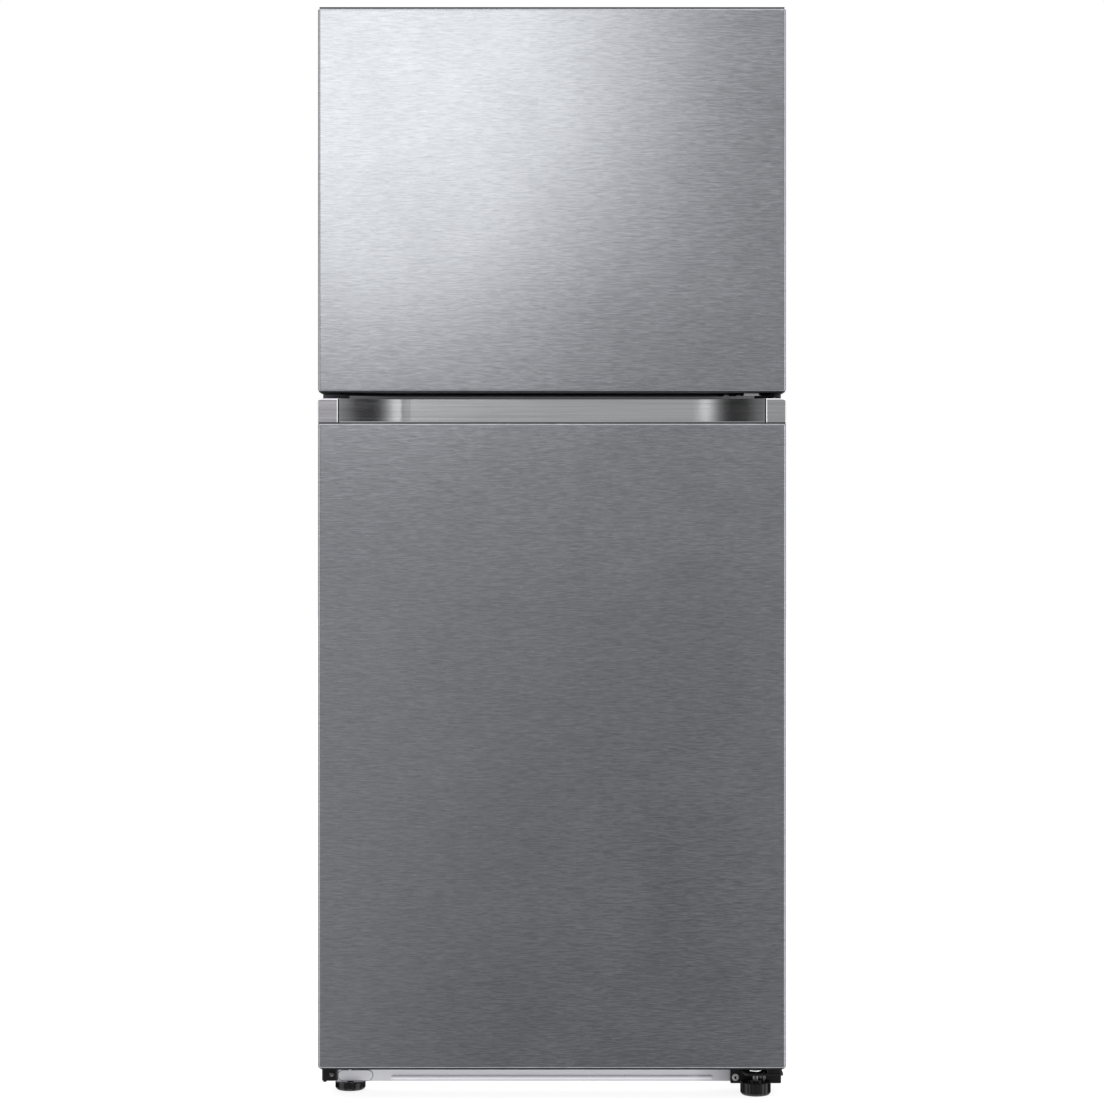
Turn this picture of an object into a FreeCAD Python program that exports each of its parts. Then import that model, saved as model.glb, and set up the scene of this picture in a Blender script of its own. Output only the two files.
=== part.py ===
"""Top freezer refrigerator, about 18 cubic feet, modelled as the pieces that it is put together from.

Millimetres. +X is to the right of someone facing the doors, +Y is towards the wall behind, +Z is up.
The origin is on the floor, under the middle of the whole appliance. Both doors hang on the right.
"""
import FreeCAD
import Part
import math
import os
from FreeCAD import Vector

# ---------------------------------------------------------------- driving dimensions
# Envelope
overall_depth = 740.0        # door faces to the rear panel's beads
door_width = 730.0
side_reveal = 1.5            # how much narrower the cabinet is than the doors, each side
door_above_cabinet = 11.0
seat = 0.3                   # gap between pieces that rest on or slide over each other
fit = 0.2                    # gap between pieces that are assembled for good
running = 0.25               # radial gap of a pin that turns in a bore

# Doors
door_thickness = 68.0
gasket_height = 12.0         # door back to cabinet front, with the gasket squeezed
door_floor_gap = 47.4        # floor to the underside of the fridge door
fridge_door_height = 1046.1
between_doors = 9.4
freezer_door_height = 600.1
skin = 0.7                   # sheet steel of the door fronts
skin_corner = 5.0            # rounding of a door front's corners
skin_edge = 4.0              # rounding of a door front's edges
skin_return = 10.0           # depth of the folded lip along a skin's top and bottom
cap_plate = 2.2              # thickness of an end cap's visible plate
cap_inset = 1.2              # how far a cap stays inside the door's sides
cap_skirt = 14.0             # how far a cap reaches into the skin
cap_wall = 2.0
liner_wall = 1.8
dike_depth = 32.0            # the door liner's rib behind the door's back
dike_side_clearance = 15.0   # dike to the compartment's side, wide enough for the door to swing
dike_width = 28.0
dike_corner = 18.0
dike_clearance = 10.0        # dike to the compartment's ceiling and floor
gasket_width = 15.0
gasket_side_inset = 24.0
gasket_end_inset = 4.4       # gasket to the door's edge along the gap between the doors
gasket_outer_inset = 20.0    # gasket to the freezer door's top edge
gasket_bottom_inset = 13.5   # gasket to the fridge door's bottom edge

# Handle along the top of the fridge door
handle_height = 39.5
handle_end = 31.0            # width of the flush piece at each end
scoop_length = 112.0         # along the door, from a flush piece to the flat back of the recess
handle_depth = 30.5
handle_lip = 1.0             # how far the recess starts behind the door's face
handle_wall = 2.0
scoop_bends = ((28.0, 7.5), (50.0, 15.5))   # poles of the scoop's curve: along the door from its start, and back
scoop_settle = 44.0          # how softly the scoop runs out into the flat back
groove_width = 2.2           # groove between a flush piece and the scoop
groove_depth = 3.2
groove_wall = 1.5            # behind the groove, and between it and the scoop
flush_bevel = 1.4            # bevel of a flush piece beside the groove
trim_edge = 1.6              # rounding of the trim's top and sides
scoop_slope = 1.2            # wall measured front to back, in wall thicknesses
trim_gap = 1.5               # shadow gap between the skin and the trim
grip_inset = 7.0             # end of the flat back to the end of the trough that the fingers hook into
grip_depth = 17.0
grip_front = 12.0
rib_height = 4.4             # rib along the top cap, behind the recess
rib_end = 18.0               # end of the recess to the end of the rib
rib_width = 4.0
end_cap_wall = 2.0
freezer_grip_end = 145.0     # door's side to the finger channel under the freezer door
freezer_grip_front = 14.0
freezer_grip_width = 26.0
freezer_grip_depth = 11.0

# Hinges
hinge_from_side = 17.0       # hinge axis to the door's right side
hinge_from_front = 46.0      # hinge axis to the door's face
pin_radius = 4.0
collar_radius = 6.5
pin_engagement = 9.0         # how far a pin reaches into its bushing
bushing_radius = 9.0
hinge_plate = 3.0
top_hinge_lift = 1.5         # freezer door's top to the plate above it
top_hinge_left = 31.0        # hinge axis to the top plate's left edge
top_hinge_right = 8.0
top_hinge_length = 118.0     # along the cabinet's top
hinge_cover_height = 2.4     # above the hinge plate
hinge_cover_wall = 1.8
middle_hinge_width = 92.0
middle_hinge_flange = 16.0
lower_hinge_width = 80.5
lower_hinge_plate = 3.5
lower_hinge_bottom = 11.0
lower_plate_bottom = 31.0
lower_screws_up = 9.5        # flange's lower edge to its screws
lower_hinge_flange_top = 45.0
screw_radius = 2.5
screw_head_radius = 5.5
screw_head_height = 3.6
screw_flats = 8.0
driver_radius = 2.6          # hollow in a screw's head for the driver
driver_depth = 2.2
screw_reach = 6.0            # thread beyond the sheet that it holds
closer_width = 24.5
closer_depth = 26.0
spare_closer_height = 24.0
spare_screw_down = 10.0      # door's underside to the screw of the block on the left
closer_inset = 3.5           # closer block to the door's side

# Cabinet
sheet = 0.6
shell_corner = 6.0
flange_width = 44.0
wall = 58.0                  # outside of the cabinet to the inside of a liner, at the sides
ceiling_wall = 62.0
rear_wall = 55.0
liner_corner = 15.0
bead_height = 5.0            # rear panel's pressed beads
bead_width = 40.0
bead_share = 0.235           # spacing of the beads, as a share of the cabinet's width
rail_bottom = 14.0
rail_top = 84.0
base_sheet = 1.2
pan_height = 24.0            # underside of the cabinet's floor pan
machine_depth = 225.0
machine_top = 285.0
fridge_floor = 96.0
liner_step_front = 220.0     # liner's back wall to the front of the step over the machinery
liner_step_top = 340.0
mullion_height = 74.0        # wall between the compartments, level with the gap between the doors
mullion_flange = 12.0
rail_channel_depth = 16.0
rail_bead_end = 111.5        # cabinet's side to the end of the rail's bead
rail_bead_height = 20.2
rail_bead_radius = 3.0
plug_from_side = 51.5        # cabinet's side to the pressed pad where a left-hung door's hinge would go
plug_half_length = 27.0
plug_radius = 8.0
plug_rise = 1.5
plug_groove = 1.0            # width of the groove round the pad

# Feet and rollers
foot_radius = 24.0
left_foot_height = 13.2      # stays under the rail
right_foot_height = 23.0
foot_from_side = 42.9
left_foot_from_front = 89.0  # door face to the left leg's axis
right_foot_from_front = 46.0
left_foot_flutes = 12
right_foot_flutes = 22
flute_share = 0.36           # flute's radius as a share of the arc from one flute to the next, halved
neck_radius = 12.0           # right foot's neck, under the bracket
neck_height = 2.6
stud_radius = 5.0
stud_height = 46.0           # floor to the stud's top
nut_radius = 9.3
nut_height = 8.0
right_nut_height = 4.0
roller_radius = 17.0
roller_width = 16.0
roller_from_side = 53.5
roller_from_back = 50.0
axle_radius = 4.0
bracket_sheet = 2.0

# Freezer fittings
cover_from_back = 62.0       # freezer liner's back wall to the face of the evaporator cover
cover_sheet = 2.2
outlet_half_width = 78.0     # the cover's air outlets, before the fan
outlet_half_height = 40.0
outlet_slot = (60.0, 6.0)
return_half_width = 240.0    # slots that the air goes back through, at the cover's foot
return_slot = (44.0, 7.0)
evaporator_from_wall = 24.0  # liner's back wall to the tubes
evaporator_up = 42.0         # compartment's floor to the lowest tube
evaporator_end = 80.0        # compartment's side to the evaporator's bends
evaporator_passes = 6
evaporator_pitch = 30.0
evaporator_tube = 4.0
evaporator_fins = 9
fin_thickness = 1.0
fan_radius = 48.0
fan_blades = 5
fan_below_ceiling = 141.0
condenser_fan_radius = 62.0
hub_radius = 15.0
hub_depth = 16.0
blade_thickness = 1.4
motor_arm = 54.0             # a motor's axis to the end of its mounting arm
motor_arm_width = 10.0
motor_foot = 26.0
motor_radius = 20.0
motor_length = 24.0
shaft_radius = 2.5
shelf_setback = 105.0        # cabinet front to the front of the shelves
freezer_shelf_share = 0.468  # shelf's height as a share of the compartment's
glass = 4.0
ledge_width = 9.0
ledge_height = 5.0
rim_height = 12.0
rim_depth = 14.0
tray_half_width = 40.0
tray_height = 28.0
tray_length = 230.0
tray_wall = 1.8
tray_brim = 4.0              # pin's axis to the tops of the walls between the cups
tray_rows = 7
tray_above_shelf = 156.0
ice_bin_width = 132.0
ice_bin_height = 92.0
ice_bin_rim = 3.0
ice_bin_from_wall = 8.0
tray_pin_radius = 4.0
tray_from_wall = 56.0        # liner's left wall to the tray's axis
frame_wall = 2.5
frame_height = 44.0
bin_wall = 2.2

# Fridge fittings
fridge_shelf_shares = (0.512, 0.745)   # of the fridge compartment's height
crisper_cover_up = 234.0     # compartment's floor to the glass over the drawers
crisper_wall = 2.2
crisper_gap = 5.0            # middle of the fridge to a drawer's side
crisper_height = 214.0
drawer_from_hinge = 77.0     # hinge axis to the right drawer's flange, so that the open door clears it
drawer_setback = 100.0       # cabinet front to a drawer's lip
drawer_lip = 12.0
drawer_inset = 8.0           # how far a drawer's flange overhangs its side
drawer_flange = 3.0
runner_thickness = 4.0
front_bar_depth = 16.0
slide_travel = 30.0
duct_half_width = 95.0
duct_depth = 25.0
housing_half_width = 120.0
housing_height = 30.0
housing_setback = 55.0
housing_depth = 170.0
dial_radius = 12.0
dial_height = 11.0
dial_x = -50.0
lens_drop = 9.0

# Door bins
bin_depth = 100.0            # door liner's face to the bin's front
bin_corner = 16.0
bin_lug = 3.0
fridge_bin_places = ((0.056, 100.0), (0.305, 90.0), (0.533, 90.0), (0.75, 70.0))   # share of the height, and depth
freezer_bin_places = ((0.113, 85.0), (0.536, 85.0))
cover_wall = 2.0
cover_height = 44.0          # dairy cover above its bin

# Machine compartment
compressor_radius = 74.0
compressor_height = 165.0
compressor_from_side = 173.5
compressor_wall = 3.0
condenser_from_side = 73.5
condenser_width = 195.0
condenser_rows = 5
condenser_pitch = 36.0
condenser_tube = 3.5
condenser_depth = 90.0       # between its two layers of tube
drain_pan_depth = 24.0
slot_pitch = 28.0            # air slots of the machine cover
slot_width = 9.0
condenser_fan_share = -0.083 # place across the cabinet, as a share of its half width
grommet_radius = 9.0
grommet_from_side = 63.5
grommet_below_top = 50.0
cord_radius = 3.6

# ---------------------------------------------------------------- places that follow from them
door_half = door_width / 2
cabinet_width = door_width - 2 * side_reveal
door_front = -overall_depth / 2
door_back = door_front + door_thickness
cabinet_front = door_back + gasket_height
cabinet_back = overall_depth / 2 - bead_height
cabinet_half = cabinet_width / 2
fridge_door_bottom = door_floor_gap
fridge_door_top = fridge_door_bottom + fridge_door_height
freezer_door_bottom = fridge_door_top + between_doors
freezer_door_top = freezer_door_bottom + freezer_door_height
fridge_skin_top = fridge_door_top - handle_height
gap_middle = (fridge_door_top + freezer_door_bottom) / 2
cabinet_top = freezer_door_top - door_above_cabinet
mullion_bottom = gap_middle - mullion_height / 2
mullion_top = gap_middle + mullion_height / 2
handle_half_width = door_half - handle_end
handle_flat_half = handle_half_width - scoop_length
grip_half_width = handle_flat_half - grip_inset
freezer_grip_half_width = door_half - freezer_grip_end
hinge_x = door_half - hinge_from_side
hinge_y = door_front + hinge_from_front
liner_half = cabinet_half - wall
liner_back = cabinet_back - rear_wall
freezer_ceiling = cabinet_top - ceiling_wall
opening_half = cabinet_half - flange_width
dike_half_width = liner_half - dike_side_clearance
lower_hinge_left = cabinet_half - lower_hinge_width
rail_bead_half_length = cabinet_half - rail_bead_end
plug_centre_x = plug_from_side - cabinet_half
foot_x = cabinet_half - foot_from_side
roller_x = cabinet_half - roller_from_side
evaporator_half_width = liner_half - evaporator_end
fan_height = freezer_ceiling - fan_below_ceiling
freezer_shelf_height = mullion_top + freezer_shelf_share * (freezer_ceiling - mullion_top)
fridge_height = mullion_bottom - fridge_floor
fridge_shelves = [fridge_floor + share * fridge_height for share in fridge_shelf_shares]
crisper_cover_height = fridge_floor + crisper_cover_up
fridge_bins = [(fridge_floor + share * fridge_height, tall) for share, tall in fridge_bin_places]
freezer_bins = [(mullion_top + share * (freezer_ceiling - mullion_top), tall) for share, tall in freezer_bin_places]
compressor_x = cabinet_half - compressor_from_side
condenser_left = condenser_from_side - cabinet_half
condenser_right = condenser_left + condenser_width
condenser_fan_x = condenser_fan_share * cabinet_half
grommet_x = cabinet_half - grommet_from_side
grommet_height = machine_top - grommet_below_top
flange_top = cabinet_top - flange_width
machine_front = cabinet_back - machine_depth
step_front = liner_back - liner_step_front
shelf_front = cabinet_front + shelf_setback
evaporator_face = liner_back - cover_from_back
hinge_top_plate = freezer_door_top + top_hinge_lift

PLANES = {
    "xy": lambda u, v, w: Vector(u, v, w),
    "xz": lambda u, v, w: Vector(u, w, v),
    "yz": lambda u, v, w: Vector(w, u, v),
}
AXES = {"x": Vector(1, 0, 0), "y": Vector(0, 1, 0), "z": Vector(0, 0, 1)}


# ---------------------------------------------------------------- shapes that many pieces share
def block(x, y, z):
    """A box between the two values of each of x, y and z."""
    return Part.makeBox(x[1] - x[0], y[1] - y[0], z[1] - z[0], Vector(x[0], y[0], z[0]))


def outline(plane, points, level, radius=0.0):
    """A closed wire through points, each (u, v) or (u, v, its own corner radius)."""
    place = PLANES[plane]
    corners = [place(p[0], p[1], level) for p in points]
    radii = [p[2] if len(p) > 2 else radius for p in points]
    count = len(points)
    starts, ends, arcs = [], [], []
    for i, corner in enumerate(corners):
        before = (corners[i - 1] - corner).normalize()
        after = (corners[(i + 1) % count] - corner).normalize()
        if radii[i] <= 0:
            starts.append(corner)
            ends.append(corner)
            arcs.append(None)
            continue
        half_turn = before.getAngle(after) / 2
        reach = radii[i] / math.tan(half_turn)
        middle = (before + after).normalize()
        centre = corner + middle * (radii[i] / math.sin(half_turn))
        starts.append(corner + before * reach)
        ends.append(corner + after * reach)
        arcs.append(Part.Arc(starts[i], centre - middle * radii[i], ends[i]).toShape())
    edges = []
    for i in range(count):
        if arcs[i]:
            edges.append(arcs[i])
        following = starts[(i + 1) % count]
        if (following - ends[i]).Length > 1e-6:
            edges.append(Part.makeLine(ends[i], following))
    return Part.Wire(edges)


def prism(plane, points, start, end, radius=0.0):
    """The outline, pushed along the plane's normal from start to end."""
    face = Part.Face(outline(plane, points, start, radius))
    return face.extrude(PLANES[plane](0, 0, end - start))


def rectangle(u, v):
    return [(u[0], v[0]), (u[1], v[0]), (u[1], v[1]), (u[0], v[1])]


def panel(plane, u, v, start, end, radius=0.0):
    """A rectangular prism with rounded corners."""
    return prism(plane, rectangle(u, v), start, end, radius)


def rod(axis, centre, radius, length):
    """A cylinder from centre, along the axis."""
    return Part.makeCylinder(radius, length, Vector(*centre), AXES[axis])


def hexagon(axis, centre, radius, length):
    """A hexagonal bar from centre, along the axis; radius is half its width across the flats."""
    direction = AXES[axis]
    side = AXES["x"] if axis != "x" else AXES["y"]
    across = direction.cross(side)
    reach = radius / math.cos(math.pi / 6)
    turns = [math.radians(60 * i + 30) for i in range(7)]
    corners = [Vector(*centre) + side * (reach * math.cos(t)) + across * (reach * math.sin(t)) for t in turns]
    return Part.Face(Part.makePolygon(corners)).extrude(direction * length)


def turned(axis, centre, profile):
    """A solid of revolution from a profile of (radius, distance along the axis)."""
    direction = AXES[axis]
    side = AXES["x"] if axis != "x" else AXES["y"]
    base = Vector(*centre)
    points = [base + side * r + direction * d for r, d in profile]
    face = Part.Face(Part.makePolygon(points + points[:1]))
    return face.revolve(base, direction, 360)


def fuse(*shapes):
    whole = shapes[0].multiFuse(list(shapes[1:]))
    return whole.removeSplitter()


def cut(shape, *tools):
    return shape.cut(list(tools)).removeSplitter() if tools else shape


def mirrored(shape):
    """The same piece on the other side of the appliance."""
    return shape.mirror(Vector(0, 0, 0), Vector(1, 0, 0))


def inset(span, by):
    return (span[0] + by, span[1] - by)


def both(half):
    return (-half, half)


def front_edges(shape, y):
    """The edges of a shape that lie in the plane at y."""
    return [e for e in shape.Edges if all(abs(v.Y - y) < 1e-4 for v in e.Vertexes)]


def thick_line(points, thickness):
    """The outline of a folded sheet: a path of right-angled folds, thickened to its left."""
    offset = []
    for i, point in enumerate(points):
        normals = []
        for a, b in ((i - 1, i), (i, i + 1)):
            if 0 <= a and b < len(points):
                du, dv = points[b][0] - points[a][0], points[b][1] - points[a][1]
                length = math.hypot(du, dv)
                normals.append((-dv / length, du / length))
        shift = [sum(n[k] for n in normals) for k in (0, 1)]
        offset.append((point[0] + shift[0] * thickness, point[1] + shift[1] * thickness))
    return points + offset[::-1]


def open_box(x, y, z, wall_thickness, radius=0.0):
    """A tray: a box with rounded upright edges, hollow and open at the top."""
    body = panel("xy", x, y, z[0], z[1], radius)
    inner = max(radius - wall_thickness, 0.0)
    hollow = panel("xy", inset(x, wall_thickness), inset(y, wall_thickness),
                   z[0] + wall_thickness, z[1] + 1, inner)
    return cut(body, hollow)


# ---------------------------------------------------------------- screws that hold the hinges
def top_screw_places():
    x = (hinge_x - 20, hinge_x + 2)
    y = (cabinet_front + 44, cabinet_front + 96)
    return [(a, b) for a in x for b in y]


def middle_screw_places():
    left = cabinet_half - 8 - middle_hinge_width
    z = (freezer_door_bottom + fridge_door_top) / 2
    return [(left + 13, z), (left + 33, z)]


def lower_screw_places():
    z = lower_hinge_bottom + lower_screws_up
    return [(lower_hinge_left + 8, z), (lower_hinge_left + 50.5, z)]


def screw(axis, centre, towards, plate, hole=False):
    """A hex-washer screw whose head sits on a plate; with hole, the clearance that it needs below the head."""
    x, y, z = centre
    reach = plate + sheet + base_sheet + screw_reach
    gap = fit if hole else 0.0
    shank = Part.makeCylinder(screw_radius + gap, reach + gap, Vector(x, y, z), AXES[axis] * towards)
    if hole:
        return shank
    out = AXES[axis] * -towards
    washer = Part.makeCylinder(screw_head_radius, 1.0, Vector(x, y, z), out)
    head = hexagon(axis, centre, screw_flats / 2, -towards * screw_head_height)
    base = Vector(x, y, z) + out * (screw_head_height - driver_depth)
    recess = Part.makeCone(0.5, driver_radius, driver_depth + 0.01, base, out)
    return cut(fuse(shank, washer, head), recess)


def screws(hole=False):
    plate_top = cabinet_top + hinge_plate
    made = [screw("z", (x, y, plate_top), -1, hinge_plate, hole) for x, y in top_screw_places()]
    face = cabinet_front - hinge_plate
    made += [screw("y", (x, face, z), 1, hinge_plate, hole) for x, z in middle_screw_places()]
    face = cabinet_front - lower_hinge_plate
    made += [screw("y", (x, face, z), 1, lower_hinge_plate, hole) for x, z in lower_screw_places()]
    return made


# ---------------------------------------------------------------- cabinet
def outer_shell():
    """One sheet bent over the sides and the top, with its front edges folded in as flanges."""
    x, z = both(cabinet_half), (rail_bottom, cabinet_top)
    outside = [(x[0], z[0]), (x[1], z[0]), (x[1], z[1], shell_corner), (x[0], z[1], shell_corner)]
    body = prism("xz", outside, cabinet_front, cabinet_back)
    r = shell_corner - sheet
    inside = [(x[0] + sheet, z[0] - 1), (x[1] - sheet, z[0] - 1),
              (x[1] - sheet, z[1] - sheet, r), (x[0] + sheet, z[1] - sheet, r)]
    hollow = prism("xz", inside, cabinet_front + sheet, cabinet_back + 1)
    doorway = block(both(opening_half), (cabinet_front - 1, cabinet_front + 2 * sheet), (0, flange_top))
    rail_space = block(inset(x, sheet), (cabinet_front - 1, cabinet_front + 2 * sheet), (0, rail_top))
    return cut(body, hollow, doorway, rail_space, *screws(hole=True)[:4])


def rear_panel():
    """Flat sheet over the back, stiffened by upright beads pressed outwards."""
    x = inset(both(cabinet_half), sheet + fit)
    z = (machine_top + base_sheet + fit, cabinet_top - sheet - fit)
    corners = [(x[0], z[0]), (x[1], z[0]), (x[1], z[1], shell_corner), (x[0], z[1], shell_corner)]
    body = prism("xz", corners, cabinet_back - sheet, cabinet_back)
    for i in (-1.5, -0.5, 0.5, 1.5):
        centre = i * bead_share * cabinet_width
        outside = [(centre - bead_width / 2, cabinet_back - sheet / 2), (centre + bead_width / 2, cabinet_back - sheet / 2),
                   (centre + bead_width / 4, cabinet_back + bead_height), (centre - bead_width / 4, cabinet_back + bead_height)]
        inside = [(centre - bead_width / 2 + sheet, cabinet_back - sheet), (centre + bead_width / 2 - sheet, cabinet_back - sheet),
                  (centre + bead_width / 4 - sheet / 2, cabinet_back + bead_height - sheet),
                  (centre - bead_width / 4 + sheet / 2, cabinet_back + bead_height - sheet)]
        low, high = z[0] + 90, z[1] - 90
        body = cut(fuse(body, prism("xy", outside, low, high)), prism("xy", inside, low + sheet, high - sheet))
    return body


def base_frame():
    """Folded steel: front rail, floor pan, and the wall and roof of the machine compartment."""
    path = [(cabinet_front, rail_top - fit), (cabinet_front, rail_bottom)]
    face = prism("yz", thick_line(path, base_sheet), -cabinet_half + sheet + fit, cabinet_half - sheet - fit)
    path = [(cabinet_front, pan_height), (machine_front, pan_height),
            (machine_front, machine_top), (cabinet_back - fit, machine_top)]
    pan = prism("yz", thick_line(path, base_sheet), -cabinet_half + sheet + fit, cabinet_half - sheet - fit)
    bead = rail_bead_half_length
    bar = rod("x", (-bead, cabinet_front, rail_bead_height), rail_bead_radius, 2 * bead)
    ends = [Part.makeSphere(rail_bead_radius, Vector(x, cabinet_front, rail_bead_height)) for x in both(bead)]
    front_half = block(both(cabinet_half), (cabinet_front - 20, cabinet_front + base_sheet / 2), (0, rail_top))
    bead = fuse(bar, *ends).common(front_half)
    centre_z = rail_bottom + plug_radius + 1
    pad_x = (plug_centre_x - plug_half_length, plug_centre_x + plug_half_length)
    pad_z = (centre_z - plug_radius, centre_z + plug_radius)
    pad = panel("xz", pad_x, pad_z, cabinet_front - plug_rise, cabinet_front + 0.8 * base_sheet, plug_radius - 0.01)
    hollow = panel("xz", inset(pad_x, 1), inset(pad_z, 1), cabinet_front - plug_rise + 1, cabinet_front + base_sheet + 1,
                   plug_radius - 1.01)
    y = door_front + left_foot_from_front
    stud_hole = rod("z", (-foot_x, y, pan_height - 1), stud_radius + fit, 4)
    nut = cut(hexagon("z", (-foot_x, y, pan_height), nut_radius, base_sheet + nut_height),
              rod("z", (-foot_x, y, pan_height - 1), stud_radius + running, 30))
    rim = panel("xz", inset(pad_x, -plug_groove), inset(pad_z, -plug_groove), cabinet_front - 0.1, cabinet_front + base_sheet / 2,
                plug_radius + plug_groove - 0.01)
    face = cut(face, rim)
    body = cut(fuse(face, pan, bead, pad), hollow, stud_hole, *screws(hole=True)[6:])
    return fuse(body, nut)


def liner_profile(grow):
    """The fridge compartment's section from the side, grown outwards by a wall."""
    return [(cabinet_front, fridge_floor - grow), (step_front + grow, fridge_floor - grow, liner_corner + grow),
            (step_front + grow, liner_step_top - grow, max(liner_corner - grow, 1)),
            (liner_back + grow, liner_step_top - grow, liner_corner + grow),
            (liner_back + grow, mullion_bottom + grow, liner_corner + grow),
            (cabinet_front, mullion_bottom + grow)]


def fridge_liner_body(grow):
    return prism("yz", liner_profile(grow), -liner_half - grow, liner_half + grow)


def freezer_liner_body(grow):
    return panel("xz", both(liner_half + grow), (mullion_top - grow, freezer_ceiling + grow),
                 cabinet_front, liner_back + grow, liner_corner + grow)


def ledges(height, depth_end):
    """The two ribs of a liner that a shelf rests on, left and right."""
    y = (shelf_front + rim_depth + 2, depth_end)
    z = (height - ledge_height - seat, height - seat)
    right = block((liner_half - ledge_width, liner_half + liner_wall / 2), y, z)
    return [right, mirrored(right)]


def freezer_liner():
    """Moulded white compartment with a flange round its mouth and ribs for the shelf."""
    flange = panel("xz", both(opening_half - fit), (mullion_top - mullion_flange + fit, flange_top - fit),
                   cabinet_front, cabinet_front + liner_wall, 2)
    hollow = freezer_liner_body(0).fuse(panel("xz", both(liner_half), (mullion_top, freezer_ceiling),
                                              cabinet_front - 1, cabinet_front + 1, liner_corner))
    body = cut(fuse(freezer_liner_body(liner_wall), flange), hollow)
    return fuse(body, *ledges(freezer_shelf_height, evaporator_face - 20))


def fridge_liner():
    """Moulded white compartment, stepped over the machinery, with a flange and ribs for the shelves."""
    flange = panel("xz", both(opening_half - fit), (rail_top + fit, mullion_bottom + mullion_flange - fit),
                   cabinet_front, cabinet_front + liner_wall, 2)
    mouth = block(both(liner_half), (cabinet_front - 1, cabinet_front + 1), (fridge_floor, mullion_bottom))
    body = cut(fuse(fridge_liner_body(liner_wall), flange), fridge_liner_body(0), mouth)
    ribs = [rib for height in fridge_shelves for rib in ledges(height, shelf_back() - rim_depth - 2)]
    return fuse(body, *ribs)


def centre_rail():
    """Steel channel across the front, between the two compartments, that both gaskets seal on."""
    z = (mullion_bottom + mullion_flange + fit, mullion_top - mullion_flange - fit)
    body = block(both(opening_half - fit), (cabinet_front, cabinet_front + rail_channel_depth), z)
    inner = block(both(opening_half + 1), (cabinet_front + base_sheet, cabinet_back), inset(z, base_sheet))
    return cut(body, inner, *screws(hole=True)[4:6])


def cabinet_foam():
    """Rigid foam that fills the space between the shell and the two liners."""
    x = both(cabinet_half - sheet - fit)
    y = (cabinet_front + liner_wall + fit, cabinet_back - sheet - fit)
    body = block(x, y, (pan_height + base_sheet + fit, cabinet_top - sheet - fit))
    corner = panel("xz", x, (0, cabinet_top - sheet - fit), y[0] - 1, y[1] + 1, shell_corner)
    body = body.common(corner)
    gap = liner_wall + fit
    machine = block((-cabinet_half, cabinet_half), (machine_front - base_sheet - fit, cabinet_back + 1),
                    (0, machine_top + base_sheet + fit))
    z = (mullion_bottom + mullion_flange, mullion_top - mullion_flange)
    channel = block(both(opening_half), (cabinet_front, cabinet_front + rail_channel_depth + fit), z)
    nut_y = door_front + left_foot_from_front
    nut = rod("z", (-foot_x, nut_y, 0), 1.16 * nut_radius + fit, stud_height + 2)
    body = cut(body, machine, channel, nut, *screws(hole=True))
    return body.cut([fridge_liner_body(gap), freezer_liner_body(gap)])


# ---------------------------------------------------------------- machine compartment
def roller_axis():
    return cabinet_back - roller_from_back, roller_radius


def machine_base():
    """Steel tray that carries the compressor, with folded edges and an ear each side of each roller."""
    x = both(cabinet_half - sheet - fit - 1)
    y = (machine_front + fit, cabinet_back - 8)
    z = (pan_height, pan_height + bracket_sheet)
    body = block(x, y, z)
    lips = [block((a, a + bracket_sheet), y, (z[0], z[1] + 14)) for a in (x[0], x[1] - bracket_sheet)]
    axis_y, axis_z = roller_axis()
    gap = roller_width / 2 + 1.5
    ears, slots = [], []
    for side in (-1, 1):
        centre = side * roller_x
        slots.append(block((centre - gap, centre + gap), (axis_y - roller_radius - 4, axis_y + roller_radius + 4), (0, 60)))
        for ear in (centre - gap - bracket_sheet, centre + gap):
            profile = [(axis_y - 14, z[1]), (axis_y - 14, axis_z - 6, 5), (axis_y + 14, axis_z - 6, 5), (axis_y + 14, z[1])]
            ears.append(prism("yz", profile, ear, ear + bracket_sheet))
    holes = [rod("x", (side * roller_x - 40, axis_y, axis_z), axle_radius + running, 80) for side in (-1, 1)]
    return cut(fuse(body, *lips, *ears), *slots, *holes)


def roller_axles():
    """Riveted pins that the rear rollers turn on."""
    axis_y, axis_z = roller_axis()
    half = roller_width / 2 + 1.5 + bracket_sheet
    pins = []
    for side in (-1, 1):
        pin = rod("x", (side * roller_x - half, axis_y, axis_z), axle_radius, 2 * half)
        head = rod("x", (side * roller_x - half - 2, axis_y, axis_z), axle_radius + 2, 2)
        pins.append(fuse(pin, head))
    return Part.makeCompound(pins)


def roller(side):
    """Moulded wheel with a hub wider than its tread, and a bore for the axle."""
    axis_y, axis_z = roller_axis()
    half = roller_width / 2
    hub = 8.0
    bore = axle_radius + running
    profile = [(bore, -half - 1), (hub, -half - 1), (hub, -half + 2), (roller_radius - 3, -half + 2),
               (roller_radius - 2, -half), (roller_radius, -half + 2), (roller_radius, half - 2),
               (roller_radius - 2, half), (roller_radius - 3, half - 2), (hub, half - 2), (hub, half + 1), (bore, half + 1)]
    return turned("x", (side * roller_x, axis_y, axis_z), profile)


def compressor_place():
    return compressor_x, (machine_front + cabinet_back) / 2 + 4, pan_height + bracket_sheet


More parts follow.
